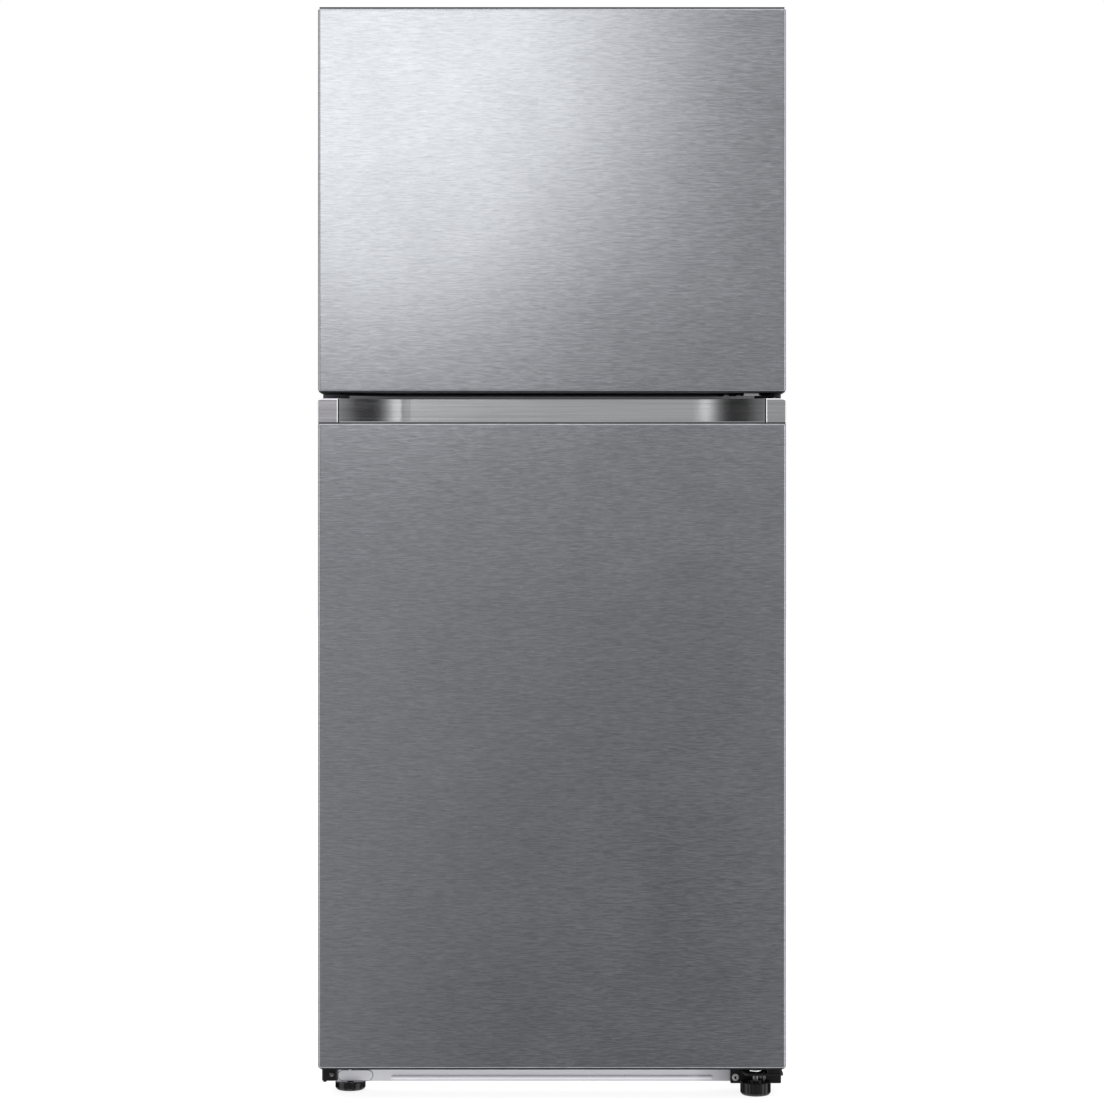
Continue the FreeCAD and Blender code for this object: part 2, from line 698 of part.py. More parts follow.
def compressor():
    """Welded steel pot on a foot plate, with the domed lid and the seam that such a pot has."""
    x, y, floor = compressor_place()
    r, h, t = compressor_radius, compressor_height, compressor_wall
    seam = 0.58 * h
    outside = [(0, 8), (r - 18, 8), (r - 4, 22), (r, seam), (r + 3, seam), (r + 3, seam + 5), (r - 2, seam + 5),
               (r - 8, h - 22), (r - 28, h - 4), (0, h)]
    inside = [(0, 8 + t), (r - 19, 8 + t), (r - 4 - t, 23), (r - t - 1, seam), (r - t - 2, seam + 4),
              (r - 9 - t, h - 23), (r - 29, h - 4 - t), (0, h - t)]
    pot = turned("z", (x, y, floor), outside).cut(turned("z", (x, y, floor), inside))
    foot = panel("xy", (x - r - 10, x + r + 10), (y - r + 14, y + r - 14), floor + 5, floor + 9, 14)
    grommets = [rod("z", (x + a * (r - 4), y + b * (r - 28), floor + fit), 9, 12) for a in (-1, 1) for b in (-1, 1)]
    stubs = [rod("z", (x - 20, y - 10, floor + h - 8), 4, 26), rod("z", (x + 18, y + 14, floor + h - 10), 5, 22)]
    box = block((x - r - 16, x - r + 8), (y - 24, y + 24), (floor + 40, floor + 92))
    hollow = turned("z", (x, y, floor), inside)
    return cut(fuse(pot, foot, *grommets, *stubs, box), hollow)


def serpentine(start, run, pitch, passes, radius, along, across):
    """A tube that goes back and forth: straight passes joined by half circles."""
    tube = []
    for i in range(passes):
        base = start + across * (pitch * i)
        end = base + along * run
        tube.append(Part.makeCylinder(radius, run, base, along))
        if i < passes - 1:
            turn, out = (end, along) if i % 2 == 0 else (base, along * -1)
            centre = turn + across * (pitch / 2)
            ring = Part.Face(Part.Wire(Part.makeCircle(radius, turn, along)))
            axis = across.cross(out) * -1
            tube.append(ring.revolve(centre, axis, 180))
    return tube


def condenser():
    """Steel tube folded back and forth between two punched plates that stand on the base."""
    y0, y1 = machine_front + 38, cabinet_back - 34
    floor = pan_height + bracket_sheet
    first = Vector(condenser_left + 18, (y0 + y1) / 2, floor + 58)
    run = condenser_right - condenser_left - 36
    made = []
    for row in (-1, 1):
        start = first + Vector(0, row * condenser_depth / 2, 0)
        made += serpentine(start, run, condenser_pitch, condenser_rows, condenser_tube, AXES["x"], AXES["z"])
    top = floor + 58 + condenser_pitch * (condenser_rows - 1) + 18
    plates = [block((x, x + 1.2), (y0, y1), (floor + fit, top)) for x in (condenser_left + 24, condenser_right - 25.2)]
    link = rod("y", (first.x, first.y - condenser_depth / 2, first.z), condenser_tube, condenser_depth)
    return fuse(*made, *plates, link)


def drain_pan():
    """Shallow tray under the condenser that melt water runs into."""
    floor = pan_height + bracket_sheet + seat
    x = (condenser_left + 28, condenser_right - 29)
    return open_box(x, (machine_front + 24, cabinet_back - 20), (floor, floor + drain_pan_depth), 2.0, 8)


def louvres(x, z, y, columns, rows, size):
    """Cutting blocks for a field of slots."""
    tools = []
    for i in range(columns):
        for j in range(rows):
            cx = x[0] + (x[1] - x[0]) * (i + 0.5) / columns
            cz = z[0] + (z[1] - z[0]) * (j + 0.5) / rows
            tools.append(panel("xz", (cx - size[0] / 2, cx + size[0] / 2), (cz - size[1] / 2, cz + size[1] / 2),
                               y[0], y[1], min(size) * 0.35))
    return tools


def machine_cover():
    """Pressed cover over the back of the machine compartment, with air slots and a hole for the cord."""
    x = both(cabinet_half - sheet - fit)
    z = (pan_height + fit, machine_top - fit)
    y = (cabinet_back - 6, cabinet_back)
    body = cut(block(x, y, z), block(inset(x, 1.2), (y[0] - 1, y[1] - 1.2), inset(z, 1.2)))
    field = (-cabinet_half + 2 * slot_pitch, -cabinet_half + 15 * slot_pitch)
    slots = louvres(field, (z[0] + 60, z[1] - 50), (y[0] - 1, y[1] + 1), 13, 2, (slot_width, 56))
    field = (grommet_x - 7 * slot_pitch, grommet_x - slot_pitch)
    slots += louvres(field, (z[0] + 60, z[1] - 90), (y[0] - 1, y[1] + 1), 6, 1, (slot_width, 70))
    hole = rod("y", (grommet_x, y[0] - 1, grommet_height), grommet_radius - 2, 10)
    return cut(body, hole, *slots)


def cord_grommet():
    """Rubber ring that the mains lead would leave through."""
    bore, waist, rim = cord_radius, grommet_radius - 2 - fit, grommet_radius
    inner, outer = -1.2 - fit, fit
    profile = [(bore, inner - 3), (rim, inner - 3), (rim, inner), (waist, inner), (waist, outer), (rim, outer),
               (rim - 2, outer + 3), (bore, outer + 3)]
    return turned("y", (grommet_x, cabinet_back, grommet_height), profile)


# ---------------------------------------------------------------- fans
def evaporator_motor_place():
    return 0.0, liner_back - seat - motor_length, fan_height


def condenser_motor_place():
    return condenser_fan_x, (machine_front + cabinet_back) / 2, 150.0


def fan_motors():
    """Two small motors, each with its shaft and the arms or the stand that hold it."""
    x, y, z = evaporator_motor_place()
    half = motor_arm_width / 2
    reach = hub_depth + half
    body = rod("y", (x, y, z), motor_radius, motor_length)
    shaft = rod("y", (x, y - reach, z), shaft_radius, reach + half)
    arm = block((x - motor_arm, x + motor_arm), (y + motor_length - bracket_sheet, y + motor_length), (z - half, z + half))
    first = fuse(body, shaft, arm)
    x, y, z = condenser_motor_place()
    body = rod("x", (x, y, z), motor_radius, motor_length)
    shaft = rod("x", (x - reach, y, z), shaft_radius, reach + half)
    floor = pan_height + bracket_sheet + fit
    back = x + motor_length - half
    stand = block((back, back + bracket_sheet), (y - motor_radius / 2, y + motor_radius / 2), (floor, z))
    foot = block((back, back + motor_foot), (y - motor_radius, y + motor_radius), (floor, floor + bracket_sheet))
    return Part.makeCompound([first, fuse(body, shaft, stand, foot)])


def fan(axis, centre, radius):
    """Hub and pitched blades on a motor's shaft; centre is the hub's rear face, and the hub lies before it."""
    depth = hub_depth
    base = Vector(*centre)
    direction = AXES[axis]
    hub = Part.makeCylinder(hub_radius, depth, base - direction * depth, direction)
    bore = Part.makeCylinder(shaft_radius + running, depth + 2, base - direction * (depth + 1), direction)
    side = AXES["z"]
    across = direction.cross(side)
    inner = 0.8 * hub_radius
    blades = []
    for i in range(fan_blades):
        corners = []
        for along, reach, swing in ((-depth + 1, inner, -0.34), (-depth + 1, radius, -0.26), (-1, radius, 0.30), (-1, inner, 0.24)):
            turn = 2 * math.pi * i / fan_blades + swing
            corners.append(base + direction * along + side * (reach * math.cos(turn)) + across * (reach * math.sin(turn)))
        normal = (corners[1] - corners[0]).cross(corners[3] - corners[0]).normalize()
        shift = [c - corners[0] for c in corners]
        flat = [corners[0] + s - normal * s.dot(normal) for s in shift]
        blades.append(Part.Face(Part.makePolygon(flat + flat[:1])).extrude(normal * blade_thickness))
    return cut(fuse(hub, *blades), bore)


def evaporator_fan():
    x, y, z = evaporator_motor_place()
    return fan("y", (x, y - 4, z), fan_radius)


def condenser_fan():
    x, y, z = condenser_motor_place()
    return fan("x", (x - 4, y, z), condenser_fan_radius)


# ---------------------------------------------------------------- freezer compartment
def evaporator_cover():
    """Moulded panel before the evaporator: outlets round the fan at the top, a return slot at the bottom."""
    x = inset(both(liner_half), 1)
    z = (mullion_top + 1, freezer_ceiling - 1)
    body = panel("xz", x, z, evaporator_face, evaporator_face + 16, liner_corner - 1)
    hollow = panel("xz", inset(x, cover_sheet), inset(z, cover_sheet), evaporator_face + cover_sheet,
                   evaporator_face + 17, liner_corner - 1 - cover_sheet)
    y = (evaporator_face - 1, evaporator_face + cover_sheet + 1)
    fan_z = (fan_height - outlet_half_height, fan_height + outlet_half_height)
    outlets = louvres(both(outlet_half_width), fan_z, y, 2, 6, outlet_slot)
    returns = louvres(both(return_half_width), (z[0] + 14, z[0] + 26), y, 8, 1, return_slot)
    return cut(body, hollow, *outlets, *returns)


def evaporator():
    """Aluminium tube that goes back and forth through a row of fins."""
    y, z = liner_back - evaporator_from_wall, mullion_top + evaporator_up
    run = 2 * evaporator_half_width - 30
    start = Vector(-evaporator_half_width + 15, y, z)
    tubes = serpentine(start, run, evaporator_pitch, evaporator_passes, evaporator_tube, AXES["x"], AXES["z"])
    top = z + evaporator_pitch * (evaporator_passes - 1) + 12
    pitch = (run - 20) / (evaporator_fins - 1)
    fins = []
    for i in range(evaporator_fins):
        x = start.x + 10 + i * pitch
        back = liner_back - seat if i in (0, evaporator_fins - 1) else y + 15
        fins.append(block((x, x + fin_thickness), (y - 15, back), (z - 12, top)))
    return fuse(*tubes, *fins)


def freezer_shelf():
    """Moulded shelf across the freezer, with a raised front rim and slots for the cold air."""
    x = inset(both(liner_half), 1.5)
    y = (shelf_front, evaporator_face - 8)
    z = freezer_shelf_height
    body = block(x, y, (z, z + glass))
    rim = block(x, (y[0], y[0] + rim_depth), (z - 4, z + rim_height))
    scoop = block(inset(x, 2), (y[0] + 2, y[0] + rim_depth - 2), (z - 5, z + rim_height - 2))
    back = block(x, (y[1] - 3, y[1]), (z, z + 12))
    slots = []
    for i in range(12):
        centre = x[0] + (x[1] - x[0]) * (i + 0.5) / 12
        slots.append(panel("xy", (centre - 4, centre + 4), (y[0] + 40, y[1] - 40), z - 1, z + glass + 1, 3.5))
    return cut(fuse(body, rim, back), scoop, *slots)


def tray_axis():
    return -liner_half + tray_from_wall, freezer_shelf_height + tray_above_shelf


def tray_span():
    start = shelf_front + 20
    return start, start + tray_length


def ice_tray_frame():
    """Bracket on the left wall that carries the ice tray between two end plates."""
    x, z = tray_axis()
    y0, y1 = tray_span()
    wall_x = -liner_half + seat
    half = frame_height / 2
    plates = []
    for a, b in ((y0 - 1 - frame_wall, y0 - 1), (y1 + 1, y1 + 1 + frame_wall)):
        plates.append(panel("xz", (wall_x, x + 16), (z - half, z + half), a, b, 6))
    bar = block((wall_x, wall_x + frame_wall), (y0 - 2, y1 + 2), (z - half, z + half))
    bore = rod("y", (x, y0 - 10, z), tray_pin_radius + running, tray_length + 20)
    return cut(fuse(bar, *plates), bore)


def ice_tray():
    """Two rows of cups between a pin at each end, with a lever to twist it by."""
    x, z = tray_axis()
    y0, y1 = tray_span()
    half = tray_half_width
    body = panel("xy", (x - half + 3, x + half - 3), (y0, y1), z - tray_height + 6, z + 2, 6)
    lip = panel("xy", (x - half, x + half), (y0, y1), z + 2, z + 6, 6)
    pitch = (tray_length - 8) / tray_rows
    brim = panel("xy", (x - half + 5, x + half - 5), (y0 + 5, y1 - 5), z - tray_brim, z + 7, 5)
    cups = [brim]
    for i in range(tray_rows):
        start = y0 + 4 + i * pitch
        for a, b in ((x - half + 5, x - 1), (x + 1, x + half - 5)):
            cups.append(panel("xy", (a, b), (start + 1, start + pitch - 1), z - tray_height + 6 + tray_wall, z + 7, 5))
    pin = rod("y", (x, y0 - 1 - frame_wall - 3, z), tray_pin_radius, frame_wall + 5)
    rear = rod("y", (x, y1 - 1, z), tray_pin_radius, frame_wall + 3)
    front = y0 - 1 - frame_wall
    lever = panel("xz", (x - 26, x + 26), (z - 8, z + 8), front - 8, front - 1, 7)
    grip = panel("xz", (x - 3, x + 3), (z - 7, z + 7), front - 14, front - 8, 2.5)
    return fuse(cut(fuse(body, lip), *cups), pin, rear, lever, grip)


def ice_bin():
    """Open tub below the ice tray, standing on the freezer shelf."""
    x, z = tray_axis()
    y0, y1 = tray_span()
    left = -liner_half + ice_bin_from_wall
    floor = freezer_shelf_height + glass + seat
    sides = (left, left + ice_bin_width)
    top = floor + ice_bin_height
    tub = open_box(sides, (y0, y1), (floor, top), bin_wall, 10)
    rim = panel("xy", inset(sides, -ice_bin_rim), inset((y0, y1), -ice_bin_rim), top - 1.5 * bin_wall, top, 12)
    inside = panel("xy", inset(sides, bin_wall), inset((y0, y1), bin_wall), floor + bin_wall, top + 1, 8)
    return fuse(tub, cut(rim, inside))


# ---------------------------------------------------------------- fridge compartment
def shelf_back():
    return liner_back - duct_depth - 8


def glass_plate(height, back):
    x = inset(both(liner_half), 3)
    return block(x, (shelf_front + 3, back - 3), (height, height + glass))


def glass_shelves():
    """Toughened glass: two full shelves, and the sheet over the crisper drawers."""
    plates = [glass_plate(height, shelf_back()) for height in fridge_shelves]
    x = inset(both(liner_half), 5)
    cover = block(x, (shelf_front + 3, step_front - 8), (crisper_cover_height, crisper_cover_height + glass))
    return Part.makeCompound(plates + [cover])


def rim_profile(y, height, forwards):
    """A moulded edge with a groove for the glass; forwards is -1 on the front edge and 1 on the back one."""
    deep = y - forwards * rim_depth
    low, high = height - 4, height + 8
    return [(y, low + 2, 1.5), (y, high, 1.5), (deep, high, 1), (deep, height + glass + fit / 2),
            (y - forwards * (3 - fit), height + glass + fit / 2), (y - forwards * (3 - fit), height - fit / 2),
            (deep, height - fit / 2), (deep, low, 1)]


def shelf_rims():
    """White moulded edges along the front and the back of each glass shelf."""
    half = liner_half - 2
    made = []
    for height in fridge_shelves:
        for y, forwards in ((shelf_front, -1), (shelf_back(), 1)):
            made.append(prism("yz", rim_profile(y, height, forwards), -half, half))
    return Part.makeCompound(made)


def drawer_sides():
    """The left and right limits of the right-hand drawer's top flange."""
    return crisper_gap, hinge_x - drawer_from_hinge


def drawer_levels():
    floor = fridge_floor + 6
    return floor, floor + crisper_height


def drawer_depth():
    return cabinet_front + drawer_setback, step_front - 12


def slider_places():
    left, right = drawer_sides()
    return [side * (left + right) / 2 for side in (-1, 1)]


def crisper_frame():
    """White frame under the crisper glass: a front bar, and behind it the back bar, cheeks and runners."""
    left, right = drawer_sides()
    floor, top = drawer_levels()
    runner = (top - drawer_flange - seat - runner_thickness, top - drawer_flange - seat)
    front = shelf_front + front_bar_depth + fit
    back = step_front - 4
    half = liner_half - 2
    height = crisper_cover_height
    bar_low = top + 2
    bar_back = shelf_front + front_bar_depth
    bar = block(both(half), (shelf_front, bar_back), (bar_low, height + 8))
    groove = block(inset(both(liner_half), 4), (shelf_front + 2.5, bar_back + 1),
                   (height - fit, height + glass + fit))
    above = block(both(half), (shelf_front + 8, bar_back + 1), (height + glass, height + 9))
    rear = block(both(half), (back - 14, back), (bar_low, height - fit))
    web = block((-1.5, 1.5), (front, back), (runner[0], height - fit))
    middle = block(both(left + drawer_inset - 1.5), (front, back - 6), runner)
    pieces = [rear, web, middle]
    for side in (-1, 1):
        cheek = block((right + 2, right + 4.2), (front, back), (floor, height - fit))
        face = block((right + 2, half), (front, front + 2.2), (floor, height - fit))
        ledge = block((right - drawer_inset + 1.5, right + 3), (front, back - 6), runner)
        pieces += [cheek, face, ledge] if side > 0 else [mirrored(s) for s in (cheek, face, ledge)]
    slots = []
    for x in slider_places():
        z = slider_height()
        reach = slide_travel / 2 + 7
        slots.append(block((x - reach, x + reach), (shelf_front - 1, shelf_front + 1.8), (z - 3, z + 3)))
    return Part.makeCompound([cut(bar, groove, above, *slots), fuse(*pieces)])


def slider_height():
    return crisper_cover_height - 5


def humidity_slide(side):
    """Small tab that slides along a slot in the frame's front bar, above its drawer."""
    x = slider_places()[0 if side < 0 else 1] - slide_travel / 2
    z = slider_height()
    tongue = block((x - 6.5, x + 6.5), (shelf_front - 1, shelf_front + 1.5), (z - 2.8, z + 2.8))
    tab = panel("xz", (x - 11, x + 11), (z - 4.5, z + 5.5), shelf_front - 3, shelf_front - seat, 2)
    ridges = [block((x + d - 0.7, x + d + 0.7), (shelf_front - 4.2, shelf_front - 2.5), (z - 3.5, z + 4.5)) for d in (-4, 0, 4)]
    return fuse(tongue, tab, *ridges)


def crisper(side):
    """Clear drawer that hangs by its flanges on the frame's runners, with a lip to pull it by."""
    left, right = drawer_sides()
    floor, top = drawer_levels()
    front, back = drawer_depth()
    x = (left + drawer_inset, right - drawer_inset)
    y = (front + drawer_lip, back)
    tub = open_box(x, y, (floor, top), crisper_wall, 14)
    flange = block((left, right), (front + drawer_lip, back), (top - drawer_flange, top))
    flange = cut(flange, panel("xy", inset(x, crisper_wall), inset(y, crisper_wall), top - 20, top + 1, 12))
    lip = block((left, right), (front, front + drawer_lip + 3), (top - drawer_flange, top))
    pull = block((left, right), (front, front + 2.4), (top - 16, top))
    rib = block(x, (front + drawer_lip - 2, front + drawer_lip + 1), (floor + 20, floor + 24))
    made = fuse(tub, flange, lip, pull, rib)
    return made if side > 0 else mirrored(made)


def air_duct():
    """Moulded channel up the back of the fridge, with an outlet above each shelf."""
    x = both(duct_half_width)
    z = (liner_step_top + liner_corner + 3, mullion_bottom - liner_corner - 3)
    y = (liner_back - duct_depth, liner_back - seat)
    profile = [(x[0], y[1]), (x[0] + 10, y[0], 6), (x[1] - 10, y[0], 6), (x[1], y[1])]
    inner = [(x[0] + 2.4, y[1] + 1), (x[0] + 12, y[0] + 2.2, 4), (x[1] - 12, y[0] + 2.2, 4), (x[1] - 2.4, y[1] + 1)]
    body = cut(prism("xy", profile, *z), prism("xy", inner, z[0] + 2, z[1] - 2))
    slots = []
    for height in [z[0] + 60] + [h + 70 for h in fridge_shelves]:
        slots += louvres((-60, 60), (height, height + 24), (y[0] - 1, y[0] + 4), 1, 3, (90, 4))
    return cut(body, *slots)


def housing_y():
    return cabinet_front + housing_setback, cabinet_front + housing_setback + housing_depth


def control_housing():
    """White box under the fridge's ceiling that holds the temperature control and the lamp."""
    y = housing_y()
    z = (mullion_bottom - housing_height, mullion_bottom - seat)
    body = block(both(housing_half_width), y, z)
    hollow = block(inset(both(housing_half_width), 2.2), inset(y, 2.2), (z[0] + 2.2, z[1] + 1))
    bore = rod("y", (dial_x, y[0] - 1, dial_level()), shaft_radius + 1 + running, 10)
    window = block(both(62), (y[0] + 36, y[1] - 14), (z[0] - 1, z[0] + 3))
    vents = [panel("xz", (x - 14, x + 14), (z[0] + 13, z[0] + 17), y[0] - 1, y[0] + 3, 1.5) for x in (30, 66)]
    return cut(body, hollow, bore, window, *vents)


def dial_level():
    return mullion_bottom - housing_height / 2


def temperature_dial():
    """Round knob with a raised grip bar, on a short shaft through the housing's front."""
    y = housing_y()[0]
    z = dial_level()
    knob = turned("y", (dial_x, y - seat, z), [(0, 0), (dial_radius, 0), (dial_radius, -5), (dial_radius - 1.5, -6), (0, -6)])
    grip = panel("xz", (dial_x - 2.2, dial_x + 2.2), (z - dial_radius + 1, z + dial_radius - 1), y - seat - dial_height, y - seat - 5, 2)
    shaft = rod("y", (dial_x, y - 3, z), shaft_radius + 1, 12)
    return fuse(knob, grip, shaft)


def light_lens():
    """Ribbed clear cover over the lamp, set in the housing's underside."""
    y = (housing_y()[0] + 36 + fit, housing_y()[1] - 14 - fit)
    z = mullion_bottom - housing_height
    x = inset(both(62), fit)
    body = block(x, y, (z - lens_drop, z + 4))
    hollow = block(inset(x, 1.6), inset(y, 1.6), (z - lens_drop + 1.6, z + 5))
    ribs = [block((x[0] + 6 + i * 12, x[0] + 8 + i * 12), inset(y, 4), (z - lens_drop - 1, z - lens_drop + 0.6)) for i in range(10)]
    return fuse(cut(body, hollow), *ribs)


# ---------------------------------------------------------------- hinges
def top_hinge():
    """Stepped steel plate on the cabinet's top that reaches over the freezer door, with its pin."""
    t = hinge_plate
    back = cabinet_front + top_hinge_length
    path = [(back, cabinet_top), (cabinet_front - 2, cabinet_top), (cabinet_front - 2, hinge_top_plate),
            (hinge_y - 11, hinge_top_plate)]
    strip = prism("yz", thick_line(path[::-1], t), hinge_x - top_hinge_left, hinge_x + top_hinge_right)
    pin = rod("z", (hinge_x, hinge_y, freezer_door_top - pin_engagement), pin_radius, pin_engagement + top_hinge_lift + 1)
    return cut(fuse(strip, pin), *screws(hole=True)[:4])


def top_hinge_cover():
    """Moulded cap over the top hinge and its screws."""
    top = hinge_top_plate + hinge_plate + hinge_cover_height
    x = (hinge_x - top_hinge_left - 4, hinge_x + top_hinge_right + hinge_cover_wall + 0.5)
    y = (hinge_y - 14, cabinet_front + top_hinge_length + 6)
    low = cabinet_top + seat
    step = cabinet_front - 3 - hinge_cover_wall
    front = [(y[0], hinge_top_plate + 1), (y[0], top, 2), (y[1], top - 2, 4), (y[1], low), (step, low), (step, hinge_top_plate + 1)]
    body = prism("yz", front, *x)
    w = hinge_cover_wall
    inner = [(y[0] + w, hinge_top_plate), (y[0] + w, top - w), (y[1] - w, top - 2 - w), (y[1] - w, low - 1), (step + w, low - 1),
             (step + w, hinge_top_plate)]
    hollow = prism("yz", inner, *inset(x, w))
    return cut(body, hollow)


def middle_hinge():
    """Steel plate between the doors: a flange on the centre rail, an arm forwards, and a pin both ways."""
    z = (freezer_door_bottom + fridge_door_top) / 2
    right = cabinet_half - 8
    x = (right - middle_hinge_width, right)
    flange = panel("xz", x, (z - middle_hinge_flange / 2, z + middle_hinge_flange / 2), cabinet_front - hinge_plate, cabinet_front, 2)
    arm = [(x[1] - 52, cabinet_front - 1), (x[1] - 44, hinge_y - 12, 6), (x[1], hinge_y - 12, 8), (x[1], cabinet_front - 1)]
    plate = prism("xy", arm, z - hinge_plate / 2, z + hinge_plate / 2)
    low = fridge_door_top - pin_engagement
    pin = rod("z", (hinge_x, hinge_y, low), pin_radius, freezer_door_bottom + pin_engagement - low)
    stop = block((x[1] - 48, x[1] - 27), (hinge_y + 6, hinge_y + 6 + hinge_plate), (z, freezer_door_bottom - 2 * seat))
    return cut(fuse(flange, plate, pin, stop), *screws(hole=True)[4:6])


def lower_hinge():
    """Black steel bracket on the base rail: it carries the fridge door's pin and the right leg."""
    bottom = lower_hinge_bottom
    x = (lower_hinge_left, cabinet_half)
    t = lower_hinge_plate
    flange = panel("xz", x, (bottom, lower_hinge_flange_top), cabinet_front - t, cabinet_front, 2)
    level = lower_plate_bottom
    shelf = [(x[0] + 12, cabinet_front - 1), (x[0] + 22, hinge_y - 14, 8), (x[1], hinge_y - 14, 8), (x[1], cabinet_front - 1)]
    plate = prism("xy", shelf, level, level + t)
    pin = rod("z", (hinge_x, hinge_y, level + 1), pin_radius, fridge_door_bottom + pin_engagement - level - 1)
    hole = rod("z", (*leg_place(1), level - 1), stud_radius + running, 30)
    return cut(fuse(flange, plate, pin), hole, *screws(hole=True)[6:])


def hinge_fasteners():
    """The screws of all three hinges, and the nut on the lower one that the right leg turns in."""
    place = (*leg_place(1), lower_plate_bottom + lower_hinge_plate)
    nut = cut(hexagon("z", place, nut_radius, right_nut_height), rod("z", (place[0], place[1], 0), stud_radius + running, 90))
    return Part.makeCompound(screws() + [nut])


# ---------------------------------------------------------------- legs
def leg_place(side):
    y = left_foot_from_front if side < 0 else right_foot_from_front
    return side * foot_x, door_front + y


def leg_stud(side):
    """Threaded stud, shown by its outside diameter, with a screwdriver slot in its top."""
    x, y = leg_place(side)
    top = stud_height if side < 0 else stud_height - 2
    stud = rod("z", (x, y, 6), stud_radius, top - 6)
    slot = block((x - 6, x + 6), (y - 0.8, y + 0.8), (top - 2, top + 1))
    return cut(stud, slot)


def leg_foot(side):
    """Moulded foot with a fluted edge to turn it by hand; the right one has a neck as well."""
    x, y = leg_place(side)
    r = foot_radius
    h, count = (left_foot_height, left_foot_flutes) if side < 0 else (right_foot_height, right_foot_flutes)
    shoulder = h if side < 0 else h - neck_height
    profile = [(0, 0), (r - 3, 0), (r - 1, 2), (r, 4), (r, shoulder - 1), (r - 1, shoulder)]
    profile += [(0, h)] if side < 0 else [(neck_radius, shoulder), (neck_radius, h), (0, h)]
    body = turned("z", (x, y, 0), profile)
    flute = flute_share * math.pi * r / count
    flutes = []
    for i in range(count):
        turn = 2 * math.pi * (i + 0.5) / count
        place = (x + (r + 0.1 * flute) * math.cos(turn), y + (r + 0.1 * flute) * math.sin(turn), -1)
        flutes.append(rod("z", place, flute, h + 2))
    bore = rod("z", (x, y, 6 - fit), stud_radius + running, h)
    return cut(body, bore, *flutes)


# ---------------------------------------------------------------- doors
def envelope(z, grow=0.0, edge=skin_edge):
    """A door's outside: rounded corners and front edges, shrunk all round when grow is negative."""
    x = both(door_half + grow)
    body = panel("xz", x, inset(z, -grow), door_front - grow, door_back, skin_corner + grow)
    return body.makeFillet(edge + grow, front_edges(body, door_front - grow))


def door_skin(door, z):
    """Brushed steel sheet: the face, the sides, and a lip folded back along the top and the bottom."""
    sheet_only = cut(envelope(door), prism("xz", rectangle(both(door_half - skin), (door[0] - 1, door[1] + 1)),
                                           door_front + skin_edge, door_back + 1),
                     skin_core(door, z))
    body = sheet_only.common(block(both(door_half + 1), (door_front - 1, door_back + 1), z))
    lips = []
    for a in (z[0], z[1] - skin):
        lips.append(block(both(door_half - 5), (door_front + skin / 2, door_front + skin_return), (a, a + skin)))
    return fuse(body, *lips)


def skin_core(door, z):
    return envelope((door[0] - 30, door[1] + 30), -skin)


def freezer_door_span():
    return freezer_door_bottom, freezer_door_top


def fridge_door_span():
    return fridge_door_bottom, fridge_door_top


def freezer_skin_span():
    return freezer_door_bottom + cap_plate, freezer_door_top - cap_plate


def fridge_skin_span():
    return fridge_door_bottom + cap_plate, fridge_skin_top


def skirt_box(z, grow=0.0):
    """The room inside a skin that an end cap's skirt fills."""
    return block(both(door_half - skin - fit - grow), (door_front + skin_return + 1 + grow, door_back - liner_wall - fit - grow), z)


def end_cap(door, at_top):
    """An end cap: a plate that closes the skin's end, a skirt inside it, and the hinge bushing's boss."""
    edge = door[1] if at_top else door[0]
    inward = -1 if at_top else 1
    plate_z = sorted((edge, edge + inward * cap_plate))
    skirt_z = sorted((edge + inward * cap_plate / 2, edge + inward * (cap_plate + cap_skirt)))
    plate = envelope(door, -cap_inset)
    lift = Vector(0, 0, cap_inset * (1 if at_top else -1))
    plate = plate.translated(lift).common(block(both(door_half), (door_front, door_back), plate_z))
    skirt = cut(skirt_box(skirt_z), skirt_box((skirt_z[0] - 1, skirt_z[1] + 1), cap_wall))
    boss_z = sorted((edge, edge + inward * (pin_engagement + 4)))
    boss = rod("z", (hinge_x, hinge_y, boss_z[0]), bushing_radius, boss_z[1] - boss_z[0])
    hole_z = sorted((edge - inward, edge + inward * (pin_engagement + 1)))
    hole = rod("z", (hinge_x, hinge_y, hole_z[0]), pin_radius + running, hole_z[1] - hole_z[0])
    return fuse(plate, skirt, boss), hole


def collar(door, at_top, reach):
    """Raised ring round a bushing's bore, which keeps the door off the hinge plate."""
    edge = door[1] if at_top else door[0]
    low = edge - 1 if at_top else edge - reach
    return rod("z", (hinge_x, hinge_y, low), collar_radius, reach + 1)


def freezer_door_caps():
    """Black end caps of the freezer door; the lower one has the channel that the fingers hook into."""
    door = freezer_door_span()
    top, top_hole = end_cap(door, True)
    bottom, bottom_hole = end_cap(door, False)
    reach = between_doors / 2 - hinge_plate / 2 - seat
    bottom = fuse(bottom, collar(door, False, reach))
    x = both(freezer_grip_half_width)
    y = (door_front + freezer_grip_front, door_front + freezer_grip_front + freezer_grip_width)
    trough = block(x, y, (door[0], door[0] + cap_plate + freezer_grip_depth))
    hollow = block(inset(x, cap_wall), inset(y, cap_wall), (door[0] - 1, door[0] + freezer_grip_depth))
    hole = rod("z", (hinge_x, hinge_y, door[0] - 10), pin_radius + running, 12)
    bottom = cut(fuse(bottom, trough), hollow, bottom_hole, hole)
    return Part.makeCompound([cut(top, top_hole), bottom])


